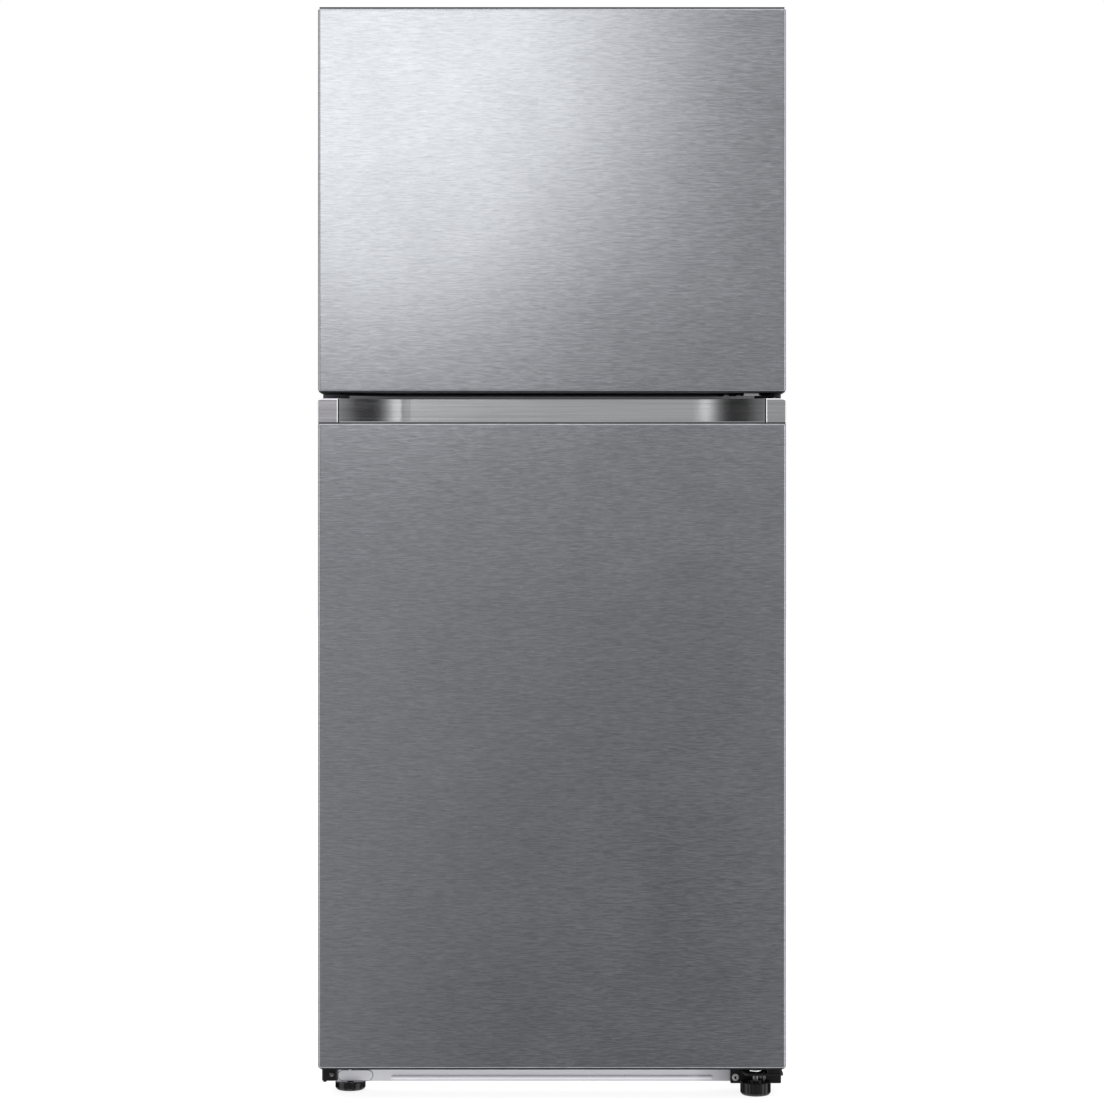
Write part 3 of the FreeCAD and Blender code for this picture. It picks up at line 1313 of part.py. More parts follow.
def recess_curve(back, z):
    """The handle recess as seen from above, as edges: down the left scoop, along the back, up the right."""
    front_y = door_front + handle_lip + back
    back_y = front_y + handle_depth
    left = [Vector(-handle_half_width, front_y, z)]
    left += [Vector(-handle_half_width + along, front_y + fall, z) for along, fall in scoop_bends]
    left += [Vector(-handle_flat_half - scoop_settle, back_y, z), Vector(-handle_flat_half, back_y, z)]
    right = [Vector(-p.x, p.y, z) for p in left[::-1]]
    curves = []
    for poles in (left, right):
        curve = Part.BezierCurve()
        curve.setPoles(poles)
        curves.append(curve.toShape())
    return [curves[0], Part.makeLine(left[-1], right[0]), curves[1]], left[0], right[-1]


def recess_region(back, z):
    """Everything in front of the recess's back, pushed from one height to another."""
    edges, start, end = recess_curve(back, z[0])
    front_y = door_front - 5
    corners = [end, Vector(end.x, front_y, z[0]), Vector(start.x, front_y, z[0]), start]
    edges += [Part.makeLine(corners[i], corners[i + 1]) for i in range(3)]
    return Part.Face(Part.Wire(edges)).extrude(Vector(0, 0, z[1] - z[0]))


def handle_trim():
    """Brushed trim along the fridge door's top: flush ends, and between them a scoop for the fingers."""
    door = fridge_door_span()
    low = fridge_skin_top + trim_gap
    zone = block(both(door_half + 1), (door_front - 1, door_back + 1), (low, door[1]))
    outer = envelope(door, edge=trim_edge).common(zone)
    tall = (low - 1, door[1] + 1)
    top_open = block(both(door_half - end_cap_wall), (door_front + end_cap_wall, door_back + 1), tall)
    liner_room = block(both(door_half - skin), (door_back - liner_wall - fit, door_back + 1), tall)
    ends = cut(outer, top_open, liner_room, recess_region(0, tall))
    thick = recess_region(handle_wall * scoop_slope, (low, door[1]))
    back = cut(thick.common(outer), recess_region(0, tall))
    floor = recess_region(0, (low, low + handle_wall)).common(outer)
    floor = cut(floor, block(both(handle_half_width + 1), (door_front - 1, door_front + handle_lip), tall))
    x = both(grip_half_width)
    y = (door_front + grip_front, door_front + handle_lip + handle_depth)
    grip = block(inset(x, -handle_wall), inset(y, -handle_wall), (low - grip_depth - handle_wall, low + handle_wall))
    hollow = block(x, y, (low - grip_depth, low + handle_wall + 1))
    start = handle_half_width - groove_width
    bed = block((start - groove_wall, handle_half_width + handle_wall),
                (door_front + handle_wall / 2, door_front + groove_depth + groove_wall), (low, door[1]))
    bed = cut(bed, recess_region(0, tall))
    groove = block((start, handle_half_width), (door_front - 1, door_front + groove_depth), tall)
    bevel = [(handle_half_width - 1, door_front - 1), (handle_half_width + flush_bevel + 1, door_front - 1),
             (handle_half_width - 1, door_front + flush_bevel + 1)]
    corner = prism("xy", bevel, *tall)
    tools = [hollow, groove, mirrored(groove), corner, mirrored(corner)]
    return cut(fuse(ends, back, floor, grip, bed, mirrored(bed)), *tools)


def fridge_door_caps():
    """Grey top cap behind the handle, with a rib along it, and the black bottom cap."""
    door = fridge_door_span()
    bottom, bottom_hole = end_cap(door, False)
    top_z = (door[1] - cap_plate, door[1])
    keep_out = recess_region(handle_wall * scoop_slope + fit, (door[1] - 40, door[1] + 1))
    step = door_front + groove_depth + groove_wall + fit
    keep_out = keep_out.fuse(block(both(handle_half_width + handle_wall + fit), (door_front, step), (door[1] - 40, door[1] + 1)))
    side = end_cap_wall + fit
    plate = block(both(door_half - side), (door_front + side, door_back), top_z)
    skirt_z = (door[1] - cap_plate - cap_skirt, door[1] - 1)
    front_y = door_front + handle_lip + handle_depth + handle_wall * scoop_slope + fit
    skirt_x = both(door_half - side)
    skirt = cut(block(skirt_x, (front_y, door_back - liner_wall - fit), skirt_z),
                block(inset(skirt_x, cap_wall), (front_y + cap_wall, door_back - liner_wall - fit - cap_wall), (skirt_z[0] - 1, skirt_z[1])))
    boss = rod("z", (hinge_x, hinge_y, door[1] - pin_engagement - 4), bushing_radius, pin_engagement + 4)
    ring = collar(door, True, between_doors / 2 - hinge_plate / 2 - seat)
    hole = rod("z", (hinge_x, hinge_y, door[1] - pin_engagement - 1), pin_radius + running, 30)
    rib_z = (door[1] - 1, door[1] + rib_height)
    behind = handle_wall * scoop_slope + fit
    rib = cut(recess_region(behind + rib_width, rib_z), recess_region(behind, rib_z))
    rib = rib.common(block(both(handle_half_width - rib_end), (door_front + handle_lip + behind + 1, door_back), rib_z))
    top = cut(fuse(cut(plate, keep_out), skirt, boss, ring, rib), hole)
    return Part.makeCompound([top, cut(bottom, bottom_hole)])


def dike_span(door):
    if door == freezer_door_span():
        return mullion_top + dike_clearance, freezer_ceiling - dike_clearance
    return fridge_floor + dike_clearance, mullion_bottom - dike_clearance


def door_liner(door):
    """White inner panel with a raised rib all round, which the bins hang inside."""
    x = both(door_half - skin - fit)
    z = inset(door, cap_plate + fit)
    back = block(x, (door_back - liner_wall, door_back), z)
    dike = dike_span(door)
    w = liner_wall
    y = (door_back - w, door_back + dike_depth)
    outside = panel("xz", both(dike_half_width), dike, *y, dike_corner)
    inside = panel("xz", both(dike_half_width - dike_width), inset(dike, dike_width), y[0] - 1, y[1] + 1, dike_corner)
    ring_out = panel("xz", both(dike_half_width - w), inset(dike, w), y[0] - 1, y[1] - w, dike_corner - w)
    ring_in = panel("xz", both(dike_half_width - dike_width + w), inset(dike, dike_width - w), y[0] - 2, y[1] - w + 1, dike_corner)
    ring = cut(outside, inside)
    hollow = ring_out.cut(ring_in)
    lugs = []
    for bottom, height in (freezer_bins if door == freezer_door_span() else fridge_bins):
        lug_x = dike_half_width - dike_width
        lug_z = (bottom + height - 32, bottom + height - 12)
        lug = panel("xz", (lug_x - bin_lug, lug_x + 1), lug_z, door_back + 8, door_back + 22, 1)
        lugs += [lug, mirrored(lug)]
    return fuse(cut(fuse(back, ring), hollow), *lugs)


def gasket_ring(x, z, width, y):
    outer = panel("xz", both(x), z, *y, 6)
    inner = panel("xz", both(x - width), inset(z, width), y[0] - 1, y[1] + 1, 3)
    return cut(outer, inner)


def gasket(door):
    """Magnetic seal: a foot in the door liner, a narrow bellows and a flat head against the cabinet."""
    half = door_half - gasket_side_inset
    if door == freezer_door_span():
        z = (door[0] + gasket_end_inset, door[1] - gasket_outer_inset)
    else:
        z = (door[0] + gasket_bottom_inset, door[1] - gasket_end_inset)
    foot = gasket_ring(half - 2, inset(z, 2), gasket_width - 4, (door_back, door_back + 3.5))
    bellows = gasket_ring(half - 4, inset(z, 4), gasket_width - 8, (door_back + 3, cabinet_front - 3.5))
    head = gasket_ring(half, z, gasket_width, (cabinet_front - 4, cabinet_front - seat))
    return fuse(foot, bellows, head)


def foam_core(z):
    """Foam between a skin and its liner, with the skin's rounding on the two front corners."""
    half = door_half - skin - fit
    y = (door_front + skin + fit, door_back - liner_wall - fit)
    return prism("xy", [(-half, y[0], skin_edge), (half, y[0], skin_edge), (half, y[1]), (-half, y[1])], *z)


def dike_foam(door):
    """Foam that fills the hollow rib of a door's liner, joined to the slab in front of it."""
    dike = dike_span(door)
    y = (door_back - liner_wall - fit - 1, door_back + dike_depth - liner_wall - fit)
    shell = liner_wall + fit
    outside = panel("xz", both(dike_half_width - shell), inset(dike, shell), *y, dike_corner - shell)
    deep = dike_width - shell
    inside = panel("xz", both(dike_half_width - deep), inset(dike, deep), y[0] - 1, y[1] + 1, dike_corner)
    return cut(outside, inside)


def freezer_door_foam():
    door = freezer_door_span()
    return fuse(foam_core(inset(door, cap_plate + cap_skirt + 1)), dike_foam(door))


def fridge_door_foam():
    door = fridge_door_span()
    level = fridge_skin_top + trim_gap - grip_depth - handle_wall - 1
    body = foam_core((door[0] + cap_plate + cap_skirt + 1, level))
    front = door_front + handle_lip + handle_depth + handle_wall * scoop_slope + 1
    upper = block(both(door_half - end_cap_wall - 1), (front, door_back - liner_wall - fit),
                  (level - 1, door[1] - cap_plate - cap_skirt - 1))
    return fuse(body, upper, dike_foam(door))


def door_bin(bottom, height):
    """Open bin across the door, rounded at the corners that face into the compartment."""
    half = dike_half_width - dike_width - bin_lug - 1
    back = door_back + seat
    front = door_back + bin_depth
    points = [(-half, back), (half, back), (half, front, bin_corner), (-half, front, bin_corner)]
    w = bin_wall
    inner = [(-half + w, back + w), (half - w, back + w), (half - w, front - w, bin_corner - w),
             (-half + w, front - w, bin_corner - w)]
    body = prism("xy", points, bottom, bottom + height)
    bead = prism("xy", [(-half, back), (half, back), (half, front, bin_corner), (-half, front, bin_corner)],
                 bottom + height - 8, bottom + height)
    return cut(fuse(body, bead), prism("xy", inner, bottom + w, bottom + height + 1))


def freezer_door_bins():
    return Part.makeCompound([door_bin(*each) for each in freezer_bins])


def dairy_axis():
    bottom, height = fridge_bins[-1]
    return door_back + 12, bottom + height + cover_height - 4


def fridge_door_bins():
    """Four bins; the top one carries the two ears that the dairy cover turns on."""
    made = [door_bin(*each) for each in fridge_bins]
    bottom, height = fridge_bins[-1]
    half = dike_half_width - dike_width - bin_lug - 1
    y, z = dairy_axis()
    ears = []
    for side in (-1, 1):
        x = sorted((side * half, side * (half - 3)))
        ear = prism("yz", [(y - 9, bottom + height - 4), (y - 9, z + 7, 5), (y + 9, z + 7, 5), (y + 24, bottom + height - 4)], *x)
        bore = rod("x", (x[0] - 1, y, z), 2.5 + running, 5)
        ears.append(cut(ear, bore))
    made[-1] = fuse(made[-1], *ears)
    return Part.makeCompound(made)


def dairy_cover():
    """Clear lid of the top bin: it hangs on two pins and swings up."""
    bottom, height = fridge_bins[-1]
    half = dike_half_width - dike_width - bin_lug - 1 - 4
    y, z = dairy_axis()
    low = bottom + height + 2
    front = door_back + bin_depth - 1
    path = [(y - 5, z + 3), (front - 22, z + 3), (front, z - 12), (front, low)]
    w = cover_wall
    profile = path + [(front - w, low), (front - w, z - 13), (front - 23, z + 3 - w), (y - 5, z + 3 - w)]
    sheet_ = prism("yz", profile, -half, half)
    pulls = block(both(30), (front - 1, front + 4), (low, low + 3))
    knuckles = []
    for side in (-1, 1):
        x = sorted((side * half, side * (half - 8)))
        knuckles.append(block(x, (y - 4, y + 4), (z - 4, z + 2)))
        pin = rod("x", (min(side * half, side * (half + 3.6)), y, z), 2.5, 3.6)
        knuckles.append(pin)
    return fuse(sheet_, pulls, *knuckles)


def closer_block(hinged):
    """Moulded block under the fridge door: bored for the pin on the hinged side, screwed on at the other."""
    x = (door_half - closer_inset - closer_width, door_half - closer_inset)
    y = (hinge_y - closer_depth / 2, hinge_y + closer_depth / 2)
    low = lower_plate_bottom + lower_hinge_plate + seat if hinged else fridge_door_bottom - spare_closer_height
    body = panel("xy", x, y, low, fridge_door_bottom, 4)
    if hinged:
        return cut(body, rod("z", (hinge_x, hinge_y, low - 1), pin_radius + running, 40))
    level = fridge_door_bottom - spare_screw_down
    head = rod("y", (x[0] + 8, y[0] - 2, level), 3.6, 3)
    slot = block((x[0] + 4, x[0] + 12), (y[0] - 3, y[0] - 1.2), (level - 0.6, level + 0.6))
    nib = block((x[1] - 7, x[1] - 2), (y[0] + 2, y[0] + 10), (low - 2.2, low + 1))
    return mirrored(cut(fuse(body, head, nib), slot))


def closer_blocks():
    return Part.makeCompound([closer_block(True), closer_block(False)])


PARTS = {
    "outer_shell": outer_shell,
    "rear_panel": rear_panel,
    "base_frame": base_frame,
    "cabinet_foam": cabinet_foam,
    "freezer_liner": freezer_liner,
    "fridge_liner": fridge_liner,
    "centre_rail": centre_rail,
    "machine_base": machine_base,
    "roller_axles": roller_axles,
    "left_roller": lambda: roller(-1),
    "right_roller": lambda: roller(1),
    "compressor": compressor,
    "condenser": condenser,
    "drain_pan": drain_pan,
    "machine_cover": machine_cover,
    "cord_grommet": cord_grommet,
    "fan_motors": fan_motors,
    "evaporator_fan": evaporator_fan,
    "condenser_fan": condenser_fan,
    "evaporator_cover": evaporator_cover,
    "evaporator": evaporator,
    "freezer_shelf": freezer_shelf,
    "ice_tray_frame": ice_tray_frame,
    "ice_tray": ice_tray,
    "ice_bin": ice_bin,
    "glass_shelves": glass_shelves,
    "shelf_rims": shelf_rims,
    "crisper_frame": crisper_frame,
    "left_humidity_slide": lambda: humidity_slide(-1),
    "right_humidity_slide": lambda: humidity_slide(1),
    "left_crisper": lambda: crisper(-1),
    "right_crisper": lambda: crisper(1),
    "air_duct": air_duct,
    "control_housing": control_housing,
    "temperature_dial": temperature_dial,
    "light_lens": light_lens,
    "top_hinge": top_hinge,
    "top_hinge_cover": top_hinge_cover,
    "middle_hinge": middle_hinge,
    "lower_hinge": lower_hinge,
    "hinge_fasteners": hinge_fasteners,
    "left_stud": lambda: leg_stud(-1),
    "right_stud": lambda: leg_stud(1),
    "left_foot": lambda: leg_foot(-1),
    "right_foot": lambda: leg_foot(1),
    "freezer_door_skin": lambda: door_skin(freezer_door_span(), freezer_skin_span()),
    "freezer_door_caps": freezer_door_caps,
    "freezer_door_liner": lambda: door_liner(freezer_door_span()),
    "freezer_door_gasket": lambda: gasket(freezer_door_span()),
    "freezer_door_foam": freezer_door_foam,
    "freezer_door_bins": freezer_door_bins,
    "fridge_door_skin": lambda: door_skin(fridge_door_span(), fridge_skin_span()),
    "handle_trim": handle_trim,
    "fridge_door_caps": fridge_door_caps,
    "fridge_door_liner": lambda: door_liner(fridge_door_span()),
    "fridge_door_gasket": lambda: gasket(fridge_door_span()),
    "fridge_door_foam": fridge_door_foam,
    "fridge_door_bins": fridge_door_bins,
    "dairy_cover": dairy_cover,
    "closer_blocks": closer_blocks,
}

os.makedirs("parts", exist_ok=True)
for name, make in PARTS.items():
    shape = make()
    if not shape.isValid() or not shape.Solids:
        raise ValueError(name + " is not a sound solid")
    shape.exportStep("parts/" + name + ".step")
    print(name, len(shape.Solids), len(shape.Faces), round(shape.Volume / 1000, 1))
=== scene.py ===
import bpy
import bmesh
import math
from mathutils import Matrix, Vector


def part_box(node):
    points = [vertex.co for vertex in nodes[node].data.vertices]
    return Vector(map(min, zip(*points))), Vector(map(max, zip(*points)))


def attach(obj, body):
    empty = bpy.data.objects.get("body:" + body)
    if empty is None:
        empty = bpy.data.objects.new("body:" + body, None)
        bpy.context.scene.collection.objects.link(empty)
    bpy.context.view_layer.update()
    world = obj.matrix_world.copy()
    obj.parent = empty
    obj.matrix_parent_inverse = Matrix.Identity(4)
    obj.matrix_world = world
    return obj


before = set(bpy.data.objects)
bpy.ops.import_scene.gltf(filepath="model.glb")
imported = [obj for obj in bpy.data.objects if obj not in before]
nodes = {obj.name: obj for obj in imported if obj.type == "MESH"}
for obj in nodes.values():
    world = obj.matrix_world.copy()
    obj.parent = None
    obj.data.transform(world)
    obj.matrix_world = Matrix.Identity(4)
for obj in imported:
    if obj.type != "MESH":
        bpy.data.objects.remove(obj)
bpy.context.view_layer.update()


# ------------------------------------------------------------ outer shell, base frame and centre rail
# The cabinet's wrapper, its floor frame and the rail between the doors: cold rolled steel sheet, folded, then
# coated with polyester paint, grey or nearly black on the rail, that dries with a faint orange peel.
def join(tree, kind, inputs=None, **settings):
    """Adds a node, and feeds its inputs from numbers, colours or the outputs of other nodes."""
    node = tree.nodes.new("ShaderNode" + kind)
    for key, value in settings.items():
        setattr(node, key, value)
    for where, value in (inputs or {}).items():
        if isinstance(value, bpy.types.NodeSocket):
            tree.links.new(value, node.inputs[where])
        else:
            node.inputs[where].default_value = value
    return node


def use(tree, group, **inputs):
    """Places an effect in a material."""
    return join(tree, "Group", inputs, node_tree=group)


def effect(name, inputs, outputs):
    """Starts a node group: its tree, where its inputs come in and where its outputs leave."""
    tree = bpy.data.node_groups.new(name, "ShaderNodeTree")
    for label, value in inputs.items():
        kind = "NodeSocketVector" if isinstance(value, tuple) else "NodeSocketFloat"
        socket = tree.interface.new_socket(label, in_out="INPUT", socket_type=kind)
        socket.default_value = value
    for label in outputs:
        tree.interface.new_socket(label, in_out="OUTPUT", socket_type="NodeSocketFloat")
    return tree, tree.nodes.new("NodeGroupInput"), tree.nodes.new("NodeGroupOutput")


def finish(name, roughness, metallic=0.0, **more):
    """A material with one Principled shader; returns it, its tree, the shader and the place on the part."""
    material = bpy.data.materials.new(name)
    material.use_nodes = True
    tree = material.node_tree
    shader = tree.nodes["Principled BSDF"]
    shader.inputs["Roughness"].default_value = roughness
    shader.inputs["Metallic"].default_value = metallic
    for key, value in more.items():
        shader.inputs[key.replace("_", " ")].default_value = value
    place = join(tree, "TexCoord").outputs["Object"]
    return material, tree, shader, place


def mixed(tree, mask, low, high, **settings):
    """A colour between two others, by a mask."""
    return join(tree, "Mix", {0: mask, 6: low, 7: high}, data_type="RGBA", **settings).outputs[2]


def two_tones(tree, mask, low, high):
    """A colour between two plain ones, by a mask."""
    return mixed(tree, mask, (*low, 1), (*high, 1))


def spread(tree, mask, low, high, start=0.0, end=1.0):
    """A number that runs from low to high as the mask runs from start to end."""
    inputs = {"Value": mask, "From Min": start, "From Max": end, "To Min": low, "To Max": high}
    return join(tree, "MapRange", inputs).outputs["Result"]


def raise_by(tree, shader, height, distance, strength):
    """Bump on a shader, its height in metres where the mask is 1."""
    bump = join(tree, "Bump", {"Height": height, "Distance": distance, "Strength": strength})
    tree.links.new(bump.outputs["Normal"], shader.inputs["Normal"])


def dress(material, *names):
    """Puts one material on every slot of the nodes named."""
    for name in names:
        for slot in nodes[name].material_slots:
            slot.material = material


def speckle(tree, place, size, detail=2.0):
    """Soft noise with blobs of about the given size in metres."""
    inputs = {"Vector": place, "Scale": 1 / size, "Detail": detail, "Roughness": 0.5}
    return join(tree, "TexNoise", inputs).outputs["Fac"]


def math_on(tree, operation, *values, **settings):
    """One step of arithmetic on numbers or sockets."""
    return join(tree, "Math", dict(enumerate(values)), operation=operation, **settings).outputs[0]


def divided(tree, entry):
    """An effect's place, divided by its size."""
    inputs = {0: entry.outputs["Place"], 1: entry.outputs["Size"]}
    return join(tree, "VectorMath", inputs, operation="DIVIDE").outputs[0]


orange_peel, entry, leave = effect("orange peel", {"Place": (0, 0, 0), "Size": 0.0016}, ["Height", "Tone"])
blobs = join(orange_peel, "TexNoise", {"Vector": divided(orange_peel, entry), "Scale": 1.0, "Detail": 2.0})
patches = join(orange_peel, "TexNoise", {"Vector": entry.outputs["Place"], "Scale": 9.0, "Detail": 3.0})
orange_peel.links.new(blobs.outputs["Fac"], leave.inputs["Height"])
orange_peel.links.new(patches.outputs["Fac"], leave.inputs["Tone"])

handled, entry, leave = effect("handled", {"Place": (0, 0, 0), "Size": 0.06}, ["Mask"])
inputs = {"Vector": divided(handled, entry), "Scale": 1.0, "Detail": 5.0, "Roughness": 0.62, "Distortion": 0.6}
smudges = join(handled, "TexNoise", inputs)
clipped = join(handled, "MapRange", {"Value": smudges.outputs["Fac"], "From Min": 0.38, "From Max": 0.72})
handled.links.new(clipped.outputs["Result"], leave.inputs["Mask"])

dusty, entry, leave = effect("settled dust", {"Place": (0, 0, 0), "Amount": 0.4}, ["Mask"])
up = join(dusty, "SeparateXYZ", {0: join(dusty, "NewGeometry").outputs["Normal"]}).outputs["Z"]
flat = join(dusty, "MapRange", {"Value": up, "From Min": 0.7, "From Max": 1.0}).outputs["Result"]
drift = join(dusty, "TexNoise", {"Vector": entry.outputs["Place"], "Scale": 14.0, "Detail": 6.0, "Roughness": 0.7})
drift = join(dusty, "MapRange", {"Value": drift.outputs["Fac"], "From Min": 0.3, "From Max": 0.75}).outputs["Result"]
settled = math_on(dusty, "MULTIPLY", flat, drift)
settled = math_on(dusty, "MULTIPLY", settled, entry.outputs["Amount"])
dusty.links.new(settled, leave.inputs["Mask"])


def painted_steel(name, colour, dust=0.25):
    """Painted sheet: orange peel, slow changes of gloss, and dust where it faces up."""
    roughness = 0.38
    material, tree, shader, place = finish(name, roughness)
    peel = use(tree, orange_peel, Place=place, Size=0.0018)
    lying = use(tree, dusty, Place=place, Amount=dust).outputs["Mask"]
    paint = two_tones(tree, peel.outputs["Tone"], [c * 0.96 for c in colour], [min(c * 1.04, 1) for c in colour])
    tree.links.new(mixed(tree, lying, paint, (0.62, 0.60, 0.56, 1)), shader.inputs["Base Color"])
    marks = use(tree, handled, Place=place, Size=0.09).outputs["Mask"]
    gloss = spread(tree, marks, roughness - 0.05, roughness + 0.09)
    gloss = math_on(tree, "ADD", gloss, lying, use_clamp=True)
    tree.links.new(gloss, shader.inputs["Roughness"])
    raise_by(tree, shader, peel.outputs["Height"], 0.00006, 0.5)
    return material


def within(tree, place, low, high):
    """A mask that is 1 inside a box on the part, and 0 outside it."""
    middle = [(a + b) / 2 for a, b in zip(low, high)]
    half = [(b - a) / 2 for a, b in zip(low, high)]
    away = join(tree, "VectorMath", {0: place, 1: middle}, operation="SUBTRACT").outputs[0]
    away = join(tree, "VectorMath", {0: away}, operation="ABSOLUTE").outputs[0]
    away = join(tree, "VectorMath", {0: away, 1: half}, operation="DIVIDE").outputs[0]
    parts = join(tree, "SeparateXYZ", {0: away})
    most = math_on(tree, "MAXIMUM", parts.outputs[0], parts.outputs[1])
    most = math_on(tree, "MAXIMUM", most, parts.outputs[2])
    return math_on(tree, "LESS_THAN", most, 1.0)


def place_on(material):
    """A finished material's tree, and the place on the part in it."""
    tree = material.node_tree
    return tree, join(tree, "TexCoord").outputs["Object"]


def painted_shade_on(material, mask, tint):
    """The material's own colour, multiplied by a tint where the mask says so: painted shade."""
    tree = material.node_tree
    shader = tree.nodes["Principled BSDF"]
    paint = shader.inputs["Base Color"].links[0].from_socket
    shade = two_tones(tree, mask, (1, 1, 1), tint)
    tree.links.new(mixed(tree, 1.0, paint, shade, blend_type="MULTIPLY"), shader.inputs["Base Color"])


cabinet_paint = painted_steel("cabinet_paint", (0.50, 0.50, 0.51))
dress(cabinet_paint, "outer_shell")
# Lighter than the shell's paint: partly a paler grey, partly painted light against the shade under the doors.
base_paint = painted_steel("base_paint", (0.84, 0.84, 0.885))
dress(base_paint, "base_frame")
rail_paint = painted_steel("rail_paint", (0.085, 0.08, 0.105), dust=0.05)
dress(rail_paint, "centre_rail")

# Painted shade: darker on the shell's front edge in the gap between the doors, and on the base by the lower hinge.
flange_shade_low = (-0.5, -0.2915, 1.0734)
flange_shade_high = (0.5, -0.288, 1.123)
tree, place = place_on(cabinet_paint)
painted_shade_on(cabinet_paint, within(tree, place, flange_shade_low, flange_shade_high), (0.17, 0.16, 0.2))
# The painted shade on the base grows towards the lower hinge's bracket.
shade_from, shade_to = 0.225, 0.285
tree, place = place_on(base_paint)
across = join(tree, "SeparateXYZ", {0: place}).outputs[0]
painted_shade_on(base_paint, spread(tree, across, 0.0, 1.0, shade_from, shade_to), (0.5, 0.5, 0.51))


def piece_from(name, shape, material, body):
    """Makes an object of a bmesh, with one material, that rides on a body."""
    bmesh.ops.recalc_face_normals(shape, faces=shape.faces)
    mesh = bpy.data.meshes.new(name)
    shape.to_mesh(mesh)
    shape.free()
    mesh.materials.append(material)
    piece = bpy.data.objects.new(name, mesh)
    bpy.context.scene.collection.objects.link(piece)
    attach(piece, body)
    return piece


def wrap(shape, low, high):
    """Faces all the way round between two rings of vertices."""
    for i in range(len(low)):
        k = (i + 1) % len(low)
        shape.faces.new((low[i], low[k], high[k], high[i]))


def rounded_loop(centre, half, radius, y, steps=8):
    """Points round a rectangle with rounded corners that faces forwards."""
    loop = []
    for corner, (sx, sz) in enumerate(((1, 1), (-1, 1), (-1, -1), (1, -1))):
        for i in range(steps + 1):
            a = math.pi / 2 * (corner + i / steps)
            loop.append((centre[0] + sx * (half[0] - radius) + radius * math.cos(a), y,
                         centre[1] + sz * (half[1] - radius) + radius * math.sin(a)))
    return loop


def loop_band(name, loops, material, body):
    """A closed band skinned over loops that follow each other and join up again at the end."""
    shape = bmesh.new()
    rows = [[shape.verts.new(point) for point in loop] for loop in loops]
    for low, high in zip(rows, rows[1:] + rows[:1]):
        wrap(shape, low, high)
    return piece_from(name, shape, material, body)


# A thin grey ring in the groove round the base's pressed pad stands in for the groove's shadow: painted shade.
pad_at = (-0.312, 0.023)
pad_half = (0.027, 0.008)
rail_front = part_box("outer_shell")[0][1]
pad_outline_shade, tree, shader, place = finish("pad_outline_shade", 0.5)
tone = two_tones(tree, speckle(tree, place, 0.004), (0.22, 0.22, 0.24), (0.28, 0.28, 0.30))
tree.links.new(tone, shader.inputs["Base Color"])
ring_inner, ring_outer = 0.00005, 0.0011
ring_back, ring_face = rail_front + 0.0003, rail_front - 0.0004
loops = []
for grow, y in ((ring_inner, ring_back), (ring_inner, ring_face), (ring_outer, ring_face), (ring_outer, ring_back)):
    size = (pad_half[0] + grow, pad_half[1] + grow)
    loops.append(rounded_loop(pad_at, size, size[1] - 0.0001, y))
pad_outline_piece = loop_band("pad_outline_piece", loops, pad_outline_shade, "cabinet")


# ------------------------------------------------------------ rear panel, machine cover and machine base
# Hot dip galvanised sheet left bare. The zinc freezes in flat crystals a few millimetres across, each of
# its own grey, and the panel is pressed with beads and held in the shell's folded edge.
spangle, entry, leave = effect("spangle", {"Place": (0, 0, 0), "Size": 0.007}, ["Tone", "Height"])
scaled = divided(spangle, entry)
bent = join(spangle, "TexNoise", {"Vector": scaled, "Scale": 1.3, "Detail": 2.0})
moved = join(spangle, "VectorMath", {0: scaled, 1: bent.outputs["Color"]}, operation="ADD")
crystals = join(spangle, "TexVoronoi", {"Vector": moved.outputs[0], "Scale": 1.0, "Randomness": 1.0})
tone = join(spangle, "SeparateColor", {0: crystals.outputs["Color"]}).outputs[0]
spangle.links.new(tone, leave.inputs["Tone"])
spangle.links.new(crystals.outputs["Distance"], leave.inputs["Height"])

zinc, tree, shader, place = finish("galvanised_sheet", 0.42, 1.0)
cells = use(tree, spangle, Place=place, Size=0.008)
lying = use(tree, dusty, Place=place, Amount=0.5).outputs["Mask"]
grey = two_tones(tree, cells.outputs["Tone"], (0.47, 0.49, 0.50), (0.60, 0.61, 0.61))
tree.links.new(mixed(tree, lying, grey, (0.45, 0.43, 0.40, 1)), shader.inputs["Base Color"])
tree.links.new(spread(tree, cells.outputs["Tone"], 0.36, 0.55), shader.inputs["Roughness"])
raise_by(tree, shader, cells.outputs["Height"], 0.00008, 0.35)
dress(zinc, "rear_panel", "machine_cover", "machine_base")


# ------------------------------------------------------------ insulation
# Polyurethane foam that is blown between shell and liner, in the cabinet and in both doors. It sets there
# with a smooth skin and closed cells, and sticks the two together.
foam, tree, shader, place = finish("insulation_foam", 0.85)
cells = speckle(tree, place, 0.0012, 3.0)
patches = speckle(tree, place, 0.05, 4.0)
tree.links.new(two_tones(tree, patches, (0.72, 0.60, 0.33), (0.86, 0.77, 0.52)), shader.inputs["Base Color"])
raise_by(tree, shader, cells, 0.0004, 0.7)
dress(foam, "cabinet_foam", "freezer_door_foam", "fridge_door_foam")


# ------------------------------------------------------------ liners
# The compartments' inner skins and the doors' inner panels: white polystyrene sheet, softened and drawn
# over a mould by vacuum, which leaves a soft gloss and a faint ripple.
def white_plastic(name, colour, roughness, ripple, size):
    """White moulded plastic with a thin gloss; its ripple has a height and a size."""
    material, tree, shader, place = finish(name, roughness, Coat_Weight=0.15, Coat_Roughness=0.12)
    waves = speckle(tree, place, size, 2.0)
    marks = use(tree, handled, Place=place, Size=0.07).outputs["Mask"]
    low = [c * 0.97 for c in colour]
    tree.links.new(two_tones(tree, speckle(tree, place, 0.2), low, colour), shader.inputs["Base Color"])
    tree.links.new(spread(tree, marks, roughness - 0.02, roughness + 0.03), shader.inputs["Roughness"])
    raise_by(tree, shader, waves, ripple, 0.5)
    return material


